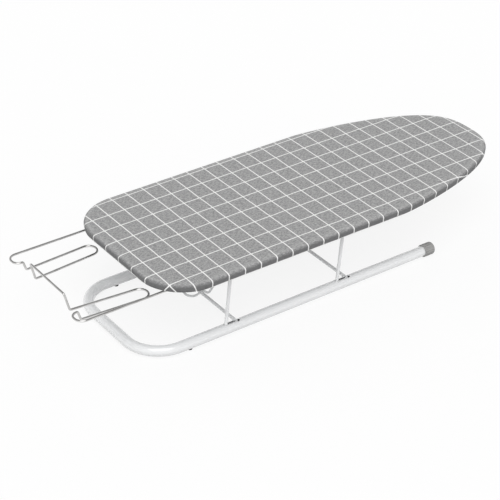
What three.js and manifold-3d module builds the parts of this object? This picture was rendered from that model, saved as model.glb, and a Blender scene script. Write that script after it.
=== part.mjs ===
// Tabletop ironing board: a padded board on two folding wire legs that stand in a U of steel tube.
// Millimetres, +X to the nose, +Y to the far side, +Z up. In the functions x is measured from the
// board's square end, and the group at the end moves the whole part so that x = 0 is its middle.
import * as THREE from 'three';
import { mergeVertices } from 'three/addons/utils/BufferGeometryUtils.js';
import Module from 'manifold-3d';

// Clearances
const SEAT_GAP = 0.3; // between pieces that lie on each other
const PIVOT_GAP = 0.4; // all round a wire in its hole
const CUT_OVERRUN = 5; // how far a cutter passes the wall that it cuts

// Board outline
const BOARD_LENGTH = 773;
const BOARD_WIDTH = 325;
const BOARD_HEIGHT = 153; // top of the cover above the floor
const REAR_CORNER_RADIUS = 86;
const NOSE_LENGTH = 290; // the part of the length that narrows to the nose
const NOSE_LENGTH_POWER = 1.3;
const NOSE_WIDTH_POWER = 2.85;
const NOSE_CROWDING = 1.4; // above 1, outline points crowd towards the tip

// Board layers
const COVER_THICKNESS = 1;
const COVER_EDGE_RADIUS = 6;
const HEM_WIDTH = 20; // cloth turned under the rim
const PAD_THICKNESS = 3.8;
const PAD_EDGE_RADIUS = 1.8;
const PAD_SIDE_GAP = 2.2;
const DECK_THICKNESS = 1;
const DECK_SIDE_GAP = 0.8;
const MESH_LENGTH = 54; // one opening of the pierced deck, along the board
const MESH_WIDTH = 30;
const MESH_PITCH_X = 64;
const MESH_PITCH_Y = 40;
const MESH_MARGIN = 8; // closed border inside the deck's edge
const RIM_HEIGHT = 7;
const RIM_WALL = 1;
const RIM_FLANGE = 8;
const RIM_EDGE_RADIUS = 3;
const RIM_SIDE_GAP = 1.2;

// Cross channels
const CHANNEL_WIDTH = 30;
const CHANNEL_WALL = 1.2;
const END_CHANNEL_DISTANCE = 55; // from the square end
const GUIDE_SPACING = 62; // between the two channels that carry the rest guides

// Base
const TUBE_DIAMETER = 19;
const TUBE_WALL = 1.2;
const TUBE_SETBACK = 44.5; // from the board's edge in to each run's centreline
const TUBE_BEND_RADIUS = 64;
const BASE_LENGTH = 616.9;
const BASE_REACH = 24.4; // the closed end lies this far beyond the board's square end
const END_CAP_WALL = 2;
const END_CAP_LENGTH = 22.5;
const END_CAP_FLOOR = 3.2;
const END_CAP_DOME = 5;
const RIB_COUNT = 16;
const RIB_DEPTH = 0.7;
const FOOT_DIAMETER = 8.6;
const FOOT_RISE = 3; // height of the foot's pad, which hugs the tube
const FOOT_STEM_DIAMETER = 4;
const FOOT_STEM_LENGTH = 4;
const FOOT_DISTANCE = 92.4; // from the closed end

// Legs
const LEG_WIRE = 6;
const LEG_BEND_RADIUS = 5;
const CRANK_LENGTH = 25; // from the hinge axis to the foot of the upright
const LEG_LEAN = 11.9; // the upright's top lies this far nearer the nose than its foot
const AXLE_RISE = 4; // of the hinge axis above the tube's centreline
const REAR_AXLE_DISTANCE = 189.7; // from the closed end
const AXLE_SPACING = 235;
const LEG_TIP_LENGTH = 30;
const SLOT_SIDE_GAP = 1;
const SLOT_END_GAP = 0.5;

// Leg brackets
const BRACKET_PLATE = 1.5;
const BRACKET_LENGTH = 30;
const BRACKET_WIDTH = 12; // over both ears
const BRACKET_FLANGE = 4;
const BRACKET_EAR = 16;
const BRACKET_STANDOFF = 10; // from the upright's centreline to the outer ear
const LEG_PIVOT_DROP = 15.3; // below the bracket's top face
const BRACKET_RIVET_SPACING = 20;

// Rivets
const RIVET_SHANK = 3;
const RIVET_HEAD = 6.5;
const RIVET_HEAD_HEIGHT = 2;
const RIVET_TAIL = 5;
const RIVET_TAIL_HEIGHT = 1;

// Lock brace, with its hook's corners measured from the rear hinge axis
const BRACE_WIRE = 4;
const BRACE_BEND_RADIUS = 4;
const BRACE_SPACING = 30;
const BRACE_PIVOT_OFFSET = 115.7; // from the rear hinge axis
const BRACE_PIVOT_DROP = 9.3;
const BRACE_TIP_LENGTH = 10;
const BRACE_BRACKET_WIDTH = 22;
const BRACE_EAR = 12;
const HOOK_TURN_X = 10;
const HOOK_TURN_Z = 0.5;
const HUMP_FRONT_Z = 7.5;
const HUMP_REAR_X = 9;
const HUMP_REAR_Z = 7;
const RAMP_END_X = 15;
const RAMP_END_Z = 4.5;
const FINGER_LOOP_X = 29;

// Iron rest
const REST_WIRE = 4;
const REST_BEND_RADIUS = 4;
const REST_SETBACK = 44; // from the board's edge in to the sliding rods
const REST_EXTENSION = 137; // the end loops lie this far beyond the board's square end
const REST_ROD_DROP = 7.3; // the rods' centreline below the guides' top face
const REST_DEPTH = 16.5; // the tray rods lie this far below the sliding rods
const REST_BAR_RISE = 16.4; // the cross bar lies this far above the sliding rods
const END_LOOP_WIDTH = 29;
const END_LOOP_RADIUS = 14.5;
const DROP_SETBACK = 14; // from the end loops' ends, as the next three
const OUTER_TRAY_SETBACK = 19;
const INNER_TRAY_SETBACK = 18;
const REST_BAR_SETBACK = 10;
const TRAY_LENGTH = 148.5;
const TRAY_LOOP_RADIUS = 15.4;
const OUTER_TRAY_FLARE = 8.5; // outwards over the tray rod's length
const INNER_TRAY_OFFSET = 62.5; // from the sliding rod in to the tray's inner rod
const INNER_TRAY_FLARE = 11.35;
const BAR_END_OFFSET = 63.5; // from the sliding rod in to the cross bar's end
const STOP_HOOK_LENGTH = 8;

// Rest guides
const GUIDE_LENGTH = 14;
const GUIDE_WIDTH = 10;
const GUIDE_HEIGHT = 10.8;
const LUG_LENGTH = 11;
const LUG_HEIGHT = 3;

// Fineness of the curved surfaces
const REAR_CORNER_STEPS = 7;
const NOSE_STEPS = 13;
const COVER_EDGE_STEPS = 3;
const FINE_EDGE_STEPS = 1;
const WIRE_BEND_STEP = Math.PI / 8;
const TUBE_BEND_STEP = Math.PI / 14;
const TUBE_SIDES = 20;
const LEG_SIDES = 10;
const ROD_SIDES = 8;
const HOLE_SIDES = 16;
const SMALL_SIDES = 8;
const EAR_STEPS = 6;

// Finishes
const GREY_CLOTH = { color: 0x8e9092, roughness: 0.9, metalness: 0 };
const FELT = { color: 0xd9d6cf, roughness: 0.95, metalness: 0 };
const PLATED_STEEL = { color: 0xb4b6b8, roughness: 0.45, metalness: 0.9 };
const WHITE_PAINT = { color: 0xf0f0ec, roughness: 0.35, metalness: 0.1 };
const CHROME = { color: 0xd8dadc, roughness: 0.15, metalness: 1 };
const NYLON = { color: 0xe6e4dc, roughness: 0.5, metalness: 0 };
const GREY_PLASTIC = { color: 0x8b8d8f, roughness: 0.6, metalness: 0 };
const BLACK_RUBBER = { color: 0x2a2a2b, roughness: 0.85, metalness: 0 };

const SIDES = { near: -1, far: 1 };

// Heights, from the top of the board down
const coverInnerTop = BOARD_HEIGHT - COVER_THICKNESS;
const padTop = coverInnerTop - SEAT_GAP;
const padBottom = padTop - PAD_THICKNESS;
const deckTop = padBottom - SEAT_GAP;
const deckBottom = deckTop - DECK_THICKNESS;
const rimTop = deckBottom - SEAT_GAP;
const rimBottom = rimTop - RIM_HEIGHT;
const coverInnerBottom = rimBottom - SEAT_GAP;
const coverBottom = coverInnerBottom - COVER_THICKNESS;
const channelBottom = rimBottom + RIM_WALL + SEAT_GAP;
const channelTop = rimTop - RIM_WALL - SEAT_GAP;
const seatHeight = channelBottom - SEAT_GAP;
const legPivotHeight = seatHeight - LEG_PIVOT_DROP;
const bracePivotHeight = seatHeight - BRACE_PIVOT_DROP;
const restRodHeight = seatHeight - REST_ROD_DROP;

// Heights and places of the base
const tubeRadius = TUBE_DIAMETER / 2;
const tubeY = BOARD_WIDTH / 2 - TUBE_SETBACK;
const tubeHeight = tubeRadius + END_CAP_WALL;
const axleHeight = tubeHeight + AXLE_RISE;
const legRise = legPivotHeight - axleHeight;
const legPivotOffset = LEG_LEAN - CRANK_LENGTH;
const rearAxleX = REAR_AXLE_DISTANCE - BASE_REACH;
const frontAxleX = rearAxleX + AXLE_SPACING;
const bracePivotX = rearAxleX + BRACE_PIVOT_OFFSET;
const guideXs = { rear: END_CHANNEL_DISTANCE, front: END_CHANNEL_DISTANCE + GUIDE_SPACING };
const legPivotXs = { rear: rearAxleX + legPivotOffset, front: frontAxleX + legPivotOffset };
const bracketY = tubeY - BRACKET_STANDOFF - BRACKET_WIDTH / 2;
const guideY = BOARD_WIDTH / 2 - REST_SETBACK;
const lugRivetY = guideY - GUIDE_WIDTH / 2 - LUG_LENGTH / 2;
const bracketRivetShifts = [-BRACKET_RIVET_SPACING / 2, BRACKET_RIVET_SPACING / 2];
const partMiddle = (BOARD_LENGTH - REST_EXTENSION - REST_WIRE / 2) / 2;

const wasm = await Module();
wasm.setup();

/** Turns a closed geometry into a solid that can be joined and cut. */
function solid(geometry) {
  const bare = geometry.index ? geometry.toNonIndexed() : geometry.clone();
  bare.deleteAttribute('normal');
  bare.deleteAttribute('uv');
  const welded = mergeVertices(bare);
  const mesh = new wasm.Mesh({
    numProp: 3,
    vertProperties: new Float32Array(welded.attributes.position.array),
    triVerts: new Uint32Array(welded.index.array),
  });
  return new wasm.Manifold(mesh);
}

/** Turns a solid back into a geometry. */
function shell(body) {
  const mesh = body.getMesh();
  const geometry = new THREE.BufferGeometry();
  geometry.setAttribute('position', new THREE.BufferAttribute(mesh.vertProperties, 3));
  geometry.setIndex(new THREE.BufferAttribute(mesh.triVerts, 1));
  geometry.computeVertexNormals();
  return geometry;
}

/** Joins closed geometries into one. */
function join(...geometries) {
  return shell(geometries.map(solid).reduce((whole, piece) => whole.add(piece)));
}

/** Cuts every tool geometry out of the body geometry. */
function cut(body, ...tools) {
  return shell(tools.map(solid).reduce((rest, tool) => rest.subtract(tool), solid(body)));
}

/** A box given by its middle in x and y, its sizes and its lower and upper heights. */
function block(x, y, length, width, bottom, top) {
  const box = new THREE.BoxGeometry(length, width, top - bottom);
  return box.translate(x, y, (bottom + top) / 2);
}

/** A round bar along x, y or z, centred on a point. */
function bar(axis, diameter, length, sides, centre) {
  const cylinder = new THREE.CylinderGeometry(diameter / 2, diameter / 2, length, sides);
  if (axis === 'x') cylinder.rotateZ(Math.PI / 2);
  if (axis === 'z') cylinder.rotateX(Math.PI / 2);
  return cylinder.translate(...centre);
}

/** The centreline of a bent wire: straight runs between corner points, each corner with its bend. */
class BentWire extends THREE.Curve {
  constructor(corners, bendStep) {
    super();
    this.bendStep = bendStep;
    this.stations = [];
    const points = corners.map(({ at }) => new THREE.Vector3(...at));
    const runs = points.slice(1).map((point, i) => point.clone().sub(points[i]));
    const reaches = BentWire.reaches(corners, runs);
    this.place(points[0], runs[0].clone().normalize());
    for (let i = 1; i < points.length - 1; i += 1) this.bend(points[i], runs[i - 1], runs[i], reaches[i]);
    this.place(points.at(-1), runs.at(-1).clone().normalize());
  }

  /** How far each bend reaches along its runs. Two bends that share a run also share its length. */
  static reaches(corners, runs) {
    const reaches = corners.map(({ bend = 0 }, i) => {
      const inner = i > 0 && i < corners.length - 1;
      return inner ? bend * Math.tan(runs[i - 1].angleTo(runs[i]) / 2) : 0;
    });
    runs.forEach((run, i) => {
      const room = Math.min(1, run.length() / (reaches[i] + reaches[i + 1]));
      reaches[i] *= room;
      reaches[i + 1] *= room;
    });
    return reaches;
  }

  /** Adds the stations round one corner. */
  bend(corner, runIn, runOut, reach) {
    const along = runIn.clone().normalize();
    const turn = runIn.angleTo(runOut);
    const inwards = runOut.clone().normalize().addScaledVector(along, -Math.cos(turn)).normalize();
    const radius = reach / Math.tan(turn / 2);
    const centre = corner.clone().addScaledVector(along, -reach).addScaledVector(inwards, radius);
    const steps = Math.ceil(turn / this.bendStep);
    for (let step = 0; step <= steps; step += 1) {
      const angle = (turn * step) / steps;
      const point = centre.clone().addScaledVector(inwards, -radius * Math.cos(angle));
      point.addScaledVector(along, radius * Math.sin(angle));
      const tangent = along.clone().multiplyScalar(Math.cos(angle));
      this.place(point, tangent.addScaledVector(inwards, Math.sin(angle)).normalize());
    }
  }

  /** Adds one station, unless it falls on the last one. */
  place(point, tangent) {
    const last = this.stations.at(-1);
    if (last && last.point.distanceTo(point) < SEAT_GAP / 2) return;
    this.stations.push({ point, tangent });
  }

  get steps() {
    return this.stations.length - 1;
  }

  getPoint(t, target = new THREE.Vector3()) {
    return target.copy(this.stations[Math.round(t * this.steps)].point);
  }

  getPointAt(u, target) {
    return this.getPoint(u, target);
  }

  getTangentAt(u, target = new THREE.Vector3()) {
    return target.copy(this.stations[Math.round(u * this.steps)].tangent);
  }
}

/** A wire, or with a bore a tube, bent along corner points. */
function bentRod(corners, diameter, sides, bendStep, bore = 0) {
  const section = new THREE.Shape().absarc(0, 0, diameter / 2, 0, 2 * Math.PI);
  if (bore) section.holes.push(new THREE.Path().absarc(0, 0, bore / 2, 0, 2 * Math.PI, true));
  const path = new BentWire(corners, bendStep);
  const options = { extrudePath: path, steps: path.steps, curveSegments: sides / 2 };
  return new THREE.ExtrudeGeometry(section, options);
}

/** Mirrors one side's corners to the other side, so that the whole wire runs from near to far. */
function mirrored(corners) {
  const far = corners.map(({ at: [x, y, z], bend }) => ({ at: [x, -y, z], bend }));
  return [...corners, ...far.reverse()];
}

/** The points of one rounded corner at the board's square end. */
function rearCorner(side) {
  const points = [];
  for (let step = 0; step <= REAR_CORNER_STEPS; step += 1) {
    const angle = (Math.PI / 2) * (step / REAR_CORNER_STEPS);
    const x = REAR_CORNER_RADIUS * (1 - Math.sin(angle));
    const y = BOARD_WIDTH / 2 - REAR_CORNER_RADIUS * (1 - Math.cos(angle));
    points.push(new THREE.Vector2(x, side * y));
  }
  return points;
}

/** The points of one flank of the nose, from where it begins to narrow to just before the tip. */
function noseFlank(side) {
  const points = [];
  for (let step = 0; step < NOSE_STEPS; step += 1) {
    const angle = (Math.PI / 2) * (1 - (1 - step / NOSE_STEPS) ** NOSE_CROWDING);
    const x = BOARD_LENGTH - NOSE_LENGTH * (1 - Math.sin(angle) ** (2 / NOSE_LENGTH_POWER));
    const y = (BOARD_WIDTH / 2) * Math.cos(angle) ** (2 / NOSE_WIDTH_POWER);
    points.push(new THREE.Vector2(x, side * y));
  }
  return points;
}

/** The board's outline seen from above, counterclockwise. */
function boardOutline() {
  const near = [...rearCorner(SIDES.near).reverse(), ...noseFlank(SIDES.near)];
  const far = [...noseFlank(SIDES.far).reverse(), ...rearCorner(SIDES.far)];
  return [...near, new THREE.Vector2(BOARD_LENGTH, 0), ...far];
}

/** The board's outline drawn in by an inset. */
function insetOutline(inset) {
  const points = boardOutline();
  return points.map((point, i) => {
    const before = point.clone().sub(points.at(i - 1)).normalize();
    const after = points[(i + 1) % points.length].clone().sub(point).normalize();
    const along = before.add(after).normalize();
    const mitre = inset / Math.abs(along.dot(after));
    return new THREE.Vector2(point.x - along.y * mitre, point.y + along.x * mitre);
  });
}

/** A layer of the board: the outline drawn in, between two heights, with rounded edges. */
function layer(inset, bottom, top, edgeRadius = 0, edgeSteps = 0) {
  const options = {
    depth: top - bottom - 2 * edgeRadius,
    bevelEnabled: edgeRadius > 0,
    bevelThickness: edgeRadius,
    bevelSize: edgeRadius,
    bevelOffset: -edgeRadius,
    bevelSegments: edgeSteps,
  };
  const slab = new THREE.ExtrudeGeometry(new THREE.Shape(insetOutline(inset)), options);
  return slab.translate(0, 0, bottom + edgeRadius);
}

/** The cover: a skin over the pad and round the rim, open under the board inside its hem. */
function cover() {
  const innerRadius = COVER_EDGE_RADIUS - COVER_THICKNESS;
  const outside = layer(0, coverBottom, BOARD_HEIGHT, COVER_EDGE_RADIUS, COVER_EDGE_STEPS);
  const inside = layer(COVER_THICKNESS, coverInnerBottom, coverInnerTop, innerRadius, COVER_EDGE_STEPS);
  const opening = layer(HEM_WIDTH, coverBottom - CUT_OVERRUN, (coverInnerBottom + coverInnerTop) / 2);
  return cut(outside, inside, opening);
}

function pad() {
  return layer(COVER_THICKNESS + PAD_SIDE_GAP, padBottom, padTop, PAD_EDGE_RADIUS, FINE_EDGE_STEPS);
}

/** One diamond-shaped opening of the deck. */
function diamond(x, y) {
  const corners = [[-1, 0], [0, 1], [1, 0], [0, -1]];
  return new THREE.Path(
    corners.map(([i, j]) => new THREE.Vector2(x + (i * MESH_LENGTH) / 2, y + (j * MESH_WIDTH) / 2)),
  );
}

/** Whether a point lies inside a closed run of points. */
function encloses(points, x, y) {
  const crossings = points.filter((point, i) => {
    const before = points.at(i - 1);
    if (point.y > y === before.y > y) return false;
    return x < point.x + ((y - point.y) * (before.x - point.x)) / (before.y - point.y);
  });
  return crossings.length % 2 === 1;
}

/** The middles of the deck's openings, in rows that are shifted by half a pitch by turns. */
function diamondCentres() {
  const limit = insetOutline(COVER_THICKNESS + DECK_SIDE_GAP + MESH_MARGIN + MESH_LENGTH / 2);
  const rows = Math.floor(BOARD_WIDTH / MESH_PITCH_Y);
  const columns = Math.floor(BOARD_LENGTH / MESH_PITCH_X);
  const centres = [];
  for (let row = -rows; row <= rows; row += 1) {
    for (let column = 0; column <= columns; column += 1) {
      const x = (column + (Math.abs(row) % 2) / 2) * MESH_PITCH_X;
      const y = (row * MESH_PITCH_Y) / 2;
      if (encloses(limit, x, y)) centres.push([x, y]);
    }
  }
  return centres;
}

/** The deck: sheet steel pierced with diamonds. */
function deck() {
  const sheet = new THREE.Shape(insetOutline(COVER_THICKNESS + DECK_SIDE_GAP));
  sheet.holes = diamondCentres().map(([x, y]) => diamond(x, y));
  const options = { depth: DECK_THICKNESS, bevelEnabled: false };
  return new THREE.ExtrudeGeometry(sheet, options).translate(0, 0, deckBottom);
}

/** The rim: a rolled channel that runs round the board and opens inwards. */
function rim() {
  const inset = COVER_THICKNESS + RIM_SIDE_GAP;
  const innerRadius = RIM_EDGE_RADIUS - RIM_WALL;
  const outside = layer(inset, rimBottom, rimTop, RIM_EDGE_RADIUS, FINE_EDGE_STEPS);
  const groove = layer(inset + RIM_WALL, rimBottom + RIM_WALL, rimTop - RIM_WALL, innerRadius, FINE_EDGE_STEPS);
  const opening = layer(inset + RIM_FLANGE, rimBottom - CUT_OVERRUN, rimTop + CUT_OVERRUN);
  return cut(outside, groove, opening);
}

/** A cross channel between the rim's flanges, open upwards, with holes for its rivets. */
function channel(x, rivetSpots) {
  const web = channelBottom + CHANNEL_WALL;
  const blank = block(x, 0, CHANNEL_WIDTH, BOARD_WIDTH, channelBottom, channelTop);
  const trough = block(
    x, 0, CHANNEL_WIDTH - 2 * CHANNEL_WALL, BOARD_WIDTH + CUT_OVERRUN, web, channelTop + CUT_OVERRUN,
  );
  const holes = rivetSpots.map(([dx, y]) => rivetHole(x + dx, y, channelBottom, web));
  const inset = COVER_THICKNESS + RIM_SIDE_GAP + RIM_EDGE_RADIUS + SEAT_GAP;
  const limit = layer(inset, channelBottom - CUT_OVERRUN, channelTop + CUT_OVERRUN);
  return shell(solid(cut(blank, trough, ...holes)).intersect(solid(limit)));
}

/** The cutter of a rivet's hole. */
function rivetHole(x, y, bottom, top) {
  const length = top - bottom + 2 * CUT_OVERRUN;
  return bar('z', RIVET_SHANK + 2 * SEAT_GAP, length, SMALL_SIDES, [x, y, (bottom + top) / 2]);
}

/** A rivet with its domed head below a plate of the given thickness and its tail in the channel. */
function rivet(x, y, plate) {
  const headTop = seatHeight - plate - SEAT_GAP;
  const tailBottom = channelBottom + CHANNEL_WALL + SEAT_GAP;
  const profile = [
    [0, headTop - RIVET_HEAD_HEIGHT],
    [RIVET_HEAD / 3, headTop - RIVET_HEAD_HEIGHT * Math.SQRT1_2],
    [RIVET_HEAD / 2, headTop],
    [RIVET_SHANK / 2, headTop],
    [RIVET_SHANK / 2, tailBottom],
    [RIVET_TAIL / 2, tailBottom],
    [RIVET_TAIL / 2, tailBottom + RIVET_TAIL_HEIGHT],
    [0, tailBottom + RIVET_TAIL_HEIGHT],
  ];
  return lathe(profile, SMALL_SIDES).translate(x, y, 0);
}

/** A turned solid about the z axis, from a profile of radius and height. */
function lathe(profile, sides) {
  const points = profile.map(([radius, height]) => new THREE.Vector2(radius, height));
  return new THREE.LatheGeometry(points, sides).rotateX(Math.PI / 2);
}

/** One ear of a bracket: round at the pivot, with the pivot's hole. */
function ear(x, y, width, drop, wire) {
  const radius = width / 2;
  const top = drop - BRACKET_PLATE / 2;
  const outline = new THREE.Shape();
  outline.moveTo(-radius, top);
  outline.absarc(0, 0, radius, Math.PI, 2 * Math.PI);
  outline.lineTo(radius, top);
  outline.holes.push(new THREE.Path().absarc(0, 0, wire / 2 + PIVOT_GAP, 0, 2 * Math.PI, true));
  const options = { depth: BRACKET_PLATE, bevelEnabled: false, curveSegments: EAR_STEPS };
  const plate = new THREE.ExtrudeGeometry(outline, options);
  return plate.rotateX(Math.PI / 2).translate(x, y + BRACKET_PLATE / 2, seatHeight - drop);
}

/** A bracket under a channel: a plate with two ears that hold a wire's turned tip. */
function bracket(x, y, width, flange, earWidth, drop, wire) {
  const plate = block(x, y, BRACKET_LENGTH, width + 2 * flange, seatHeight - BRACKET_PLATE, seatHeight);
  const earShift = (width - BRACKET_PLATE) / 2;
  const ears = [-earShift, earShift].map((shift) => ear(x, y + shift, earWidth, drop, wire));
  const holes = bracketRivetShifts.map((shift) =>
    rivetHole(x + shift, y, seatHeight - BRACKET_PLATE, seatHeight),
  );
  return cut(join(plate, ...ears), ...holes);
}

/** The two rivets of a bracket, named after it. */
function bracketRivets(name, x, y) {
  return bracketRivetShifts.map((shift, i) =>
    piece(`${name}_rivet_${i + 1}`, rivet(x + shift, y, BRACKET_PLATE), PLATED_STEEL),
  );
}

/** A guide of the iron rest: a block with the rod's bore, and a lug for its rivet. */
function restGuide(x, side) {
  const y = side * guideY;
  const lugY = side * (guideY - GUIDE_WIDTH / 2 - LUG_LENGTH / 2);
  const body = block(x, y, GUIDE_LENGTH, GUIDE_WIDTH, seatHeight - GUIDE_HEIGHT, seatHeight);
  const lug = block(x, lugY, GUIDE_LENGTH, LUG_LENGTH + GUIDE_WIDTH / 2, seatHeight - LUG_HEIGHT, seatHeight);
  const boreLength = GUIDE_LENGTH + 2 * CUT_OVERRUN;
  const bore = bar('x', REST_WIRE + 2 * PIVOT_GAP, boreLength, HOLE_SIDES, [x, y, restRodHeight]);
  const hole = rivetHole(x, side * lugRivetY, seatHeight - LUG_HEIGHT, seatHeight);
  return cut(join(body, lug), bore, hole);
}

/** The base tube, bent to a U, with the legs' slots and hinge holes and the feet's stem holes. */
function baseTube() {
  const closedX = tubeRadius - BASE_REACH;
  const openX = BASE_LENGTH - BASE_REACH - END_CAP_FLOOR - SEAT_GAP;
  const corners = mirrored([
    { at: [openX, -tubeY, tubeHeight] },
    { at: [closedX, -tubeY, tubeHeight], bend: TUBE_BEND_RADIUS },
  ]);
  const tube = bentRod(corners, TUBE_DIAMETER, TUBE_SIDES, TUBE_BEND_STEP, TUBE_DIAMETER - 2 * TUBE_WALL);
  const cutters = Object.values(SIDES).flatMap((side) => [
    ...[rearAxleX, frontAxleX].flatMap((x) => [legSlot(x, side), axleHole(x, side)]),
    stemHole(side),
  ]);
  return cut(tube, ...cutters);
}

/** The slot in the tube's crown that the crank lies in. Its end is the upright's stop. */
function legSlot(axleX, side) {
  const start = axleX - CRANK_LENGTH - LEG_WIRE / 2 - PIVOT_GAP;
  const end = axleX + LEG_WIRE / 2 + SLOT_END_GAP;
  const width = LEG_WIRE + 2 * SLOT_SIDE_GAP;
  const top = tubeHeight + tubeRadius + CUT_OVERRUN;
  return block((start + end) / 2, side * tubeY, end - start, width, tubeHeight, top);
}

/** The hole in the tube's inner wall that the cross wire turns in. */
function axleHole(axleX, side) {
  const length = tubeRadius + CUT_OVERRUN;
  const y = side * (tubeY - length / 2);
  return bar('y', LEG_WIRE + 2 * PIVOT_GAP, length, HOLE_SIDES, [axleX, y, axleHeight]);
}

function stemHole(side) {
  const place = [FOOT_DISTANCE - BASE_REACH, side * tubeY, tubeHeight - tubeRadius];
  return bar('z', FOOT_STEM_DIAMETER + 2 * SEAT_GAP, 2 * CUT_OVERRUN, SMALL_SIDES, place);
}

/** A rubber foot: a pad that hugs the tube from below and a stem in the tube's hole. */
function foot(side) {
  const profile = [
    [0, 0],
    [FOOT_DIAMETER / 2, 0],
    [FOOT_DIAMETER / 2, FOOT_RISE],
    [0, FOOT_RISE],
  ];
  const stemTop = FOOT_RISE + FOOT_STEM_LENGTH;
  const place = [FOOT_DISTANCE - BASE_REACH, side * tubeY, 0];
  const sole = lathe(profile, HOLE_SIDES).translate(...place);
  const tubeOver = [place[0], place[1], tubeHeight];
  const hug = bar('x', TUBE_DIAMETER + 2 * SEAT_GAP, 2 * FOOT_DIAMETER, 2 * TUBE_SIDES, tubeOver);
  const stemMiddle = [place[0], place[1], (stemTop + SEAT_GAP) / 2];
  const stem = bar('z', FOOT_STEM_DIAMETER, stemTop - SEAT_GAP, SMALL_SIDES, stemMiddle);
  return join(cut(sole, hug), stem);
}

/** The outline of an end cap's ribbed side. */
function ribbedOutline() {
  const radius = tubeRadius + END_CAP_WALL;
  const points = [];
  for (let i = 0; i < 4 * RIB_COUNT; i += 1) {
    const angle = (2 * Math.PI * (i - 1 / 2)) / (4 * RIB_COUNT);
    const reach = i % 4 < 2 ? radius : radius - RIB_DEPTH;
    points.push(new THREE.Vector2(reach * Math.cos(angle), reach * Math.sin(angle)));
  }
  return points;
}

/** A ribbed cap over an open end of the tube. */
function endCap(side) {
  const radius = tubeRadius + END_CAP_WALL;
  const sleeve = END_CAP_LENGTH - END_CAP_FLOOR;
  const ribbed = new THREE.ExtrudeGeometry(new THREE.Shape(ribbedOutline()), {
    depth: END_CAP_LENGTH,
    bevelEnabled: false,
  });
  const domeStart = END_CAP_LENGTH - END_CAP_DOME;
  const dome = lathe(
    [
      [0, -CUT_OVERRUN],
      [radius + CUT_OVERRUN, -CUT_OVERRUN],
      [radius + CUT_OVERRUN, domeStart],
      [radius, domeStart],
      [radius - END_CAP_DOME * (1 - Math.SQRT1_2), domeStart + END_CAP_DOME * Math.SQRT1_2],
      [radius - END_CAP_DOME, END_CAP_LENGTH],
      [0, END_CAP_LENGTH],
    ],
    2 * TUBE_SIDES,
  );
  const bore = bar('z', TUBE_DIAMETER + 2 * SEAT_GAP, 2 * sleeve, 2 * TUBE_SIDES, [0, 0, 0]);
  const cap = shell(solid(ribbed).intersect(solid(dome)).subtract(solid(bore)));
  const start = BASE_LENGTH - BASE_REACH - END_CAP_LENGTH;
  return cap.rotateY(Math.PI / 2).translate(start, side * tubeY, tubeHeight);
}

/** One leg about its hinge axis: tips, uprights, cranks and the cross wire are one bent wire. */
function legWire() {
  const bend = LEG_BEND_RADIUS;
  const corners = mirrored([
    { at: [legPivotOffset, LEG_TIP_LENGTH - tubeY, legRise] },
    { at: [legPivotOffset, -tubeY, legRise], bend },
    { at: [-CRANK_LENGTH, -tubeY, 0], bend },
    { at: [0, -tubeY, 0], bend },
  ]);
  return bentRod(corners, LEG_WIRE, LEG_SIDES, WIRE_BEND_STEP);
}

/** The lock brace about the rear hinge axis: a hairpin whose hook lies over the cross wire. */
function braceWire() {
  const y = BRACE_SPACING / 2;
  const bend = BRACE_BEND_RADIUS;
  const pivotRise = bracePivotHeight - axleHeight;
  const corners = mirrored([
    { at: [BRACE_PIVOT_OFFSET, BRACE_TIP_LENGTH - y, pivotRise] },
    { at: [BRACE_PIVOT_OFFSET, -y, pivotRise], bend },
    { at: [HOOK_TURN_X, -y, -HOOK_TURN_Z], bend },
    { at: [0, -y, HUMP_FRONT_Z], bend },
    { at: [-HUMP_REAR_X, -y, HUMP_REAR_Z], bend },
    { at: [-RAMP_END_X, -y, RAMP_END_Z], bend },
    { at: [-FINGER_LOOP_X, -y, RAMP_END_Z], bend: y },
  ]);
  return bentRod(corners, BRACE_WIRE, ROD_SIDES, WIRE_BEND_STEP);
}

/** The iron rest: two sliding rods with end loops, a tray of loops below them and a cross bar. */
function restWire() {
  const y = guideY;
  const innerY = y - END_LOOP_WIDTH;
  const endX = -REST_EXTENSION;
  const trayX = endX + TRAY_LENGTH;
  const trayZ = restRodHeight - REST_DEPTH;
  const barZ = restRodHeight + REST_BAR_RISE;
  const hookX = guideXs.front + GUIDE_LENGTH / 2 + SEAT_GAP + REST_BEND_RADIUS;
  const bend = REST_BEND_RADIUS;
  const corners = mirrored([
    { at: [hookX, -y - STOP_HOOK_LENGTH, restRodHeight] },
    { at: [hookX, -y, restRodHeight], bend },
    { at: [endX, -y, restRodHeight], bend: END_LOOP_RADIUS },
    { at: [endX, -innerY, restRodHeight], bend: END_LOOP_RADIUS },
    { at: [endX + DROP_SETBACK, -innerY, restRodHeight], bend },
    { at: [endX + OUTER_TRAY_SETBACK, -innerY, trayZ], bend },
    { at: [trayX, -innerY - OUTER_TRAY_FLARE, trayZ], bend: TRAY_LOOP_RADIUS },
    { at: [trayX, INNER_TRAY_OFFSET - y - INNER_TRAY_FLARE, trayZ], bend: TRAY_LOOP_RADIUS },
    { at: [endX + INNER_TRAY_SETBACK, INNER_TRAY_OFFSET - y, trayZ], bend },
    { at: [endX + REST_BAR_SETBACK, BAR_END_OFFSET - y, barZ], bend },
  ]);
  return bentRod(corners, REST_WIRE, ROD_SIDES, WIRE_BEND_STEP);
}

/** A named piece with its finish. */
function piece(name, geometry, finish) {
  const mesh = new THREE.Mesh(geometry, new THREE.MeshStandardMaterial(finish));
  mesh.name = name;
  return mesh;
}

/** The base: tube, end caps and feet. */
function base() {
  const group = new THREE.Group();
  group.add(piece('base_tube', baseTube(), WHITE_PAINT));
  for (const [name, side] of Object.entries(SIDES)) {
    group.add(piece(`end_cap_${name}`, endCap(side), GREY_PLASTIC));
    group.add(piece(`foot_${name}`, foot(side), BLACK_RUBBER));
  }
  return group;
}

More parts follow.
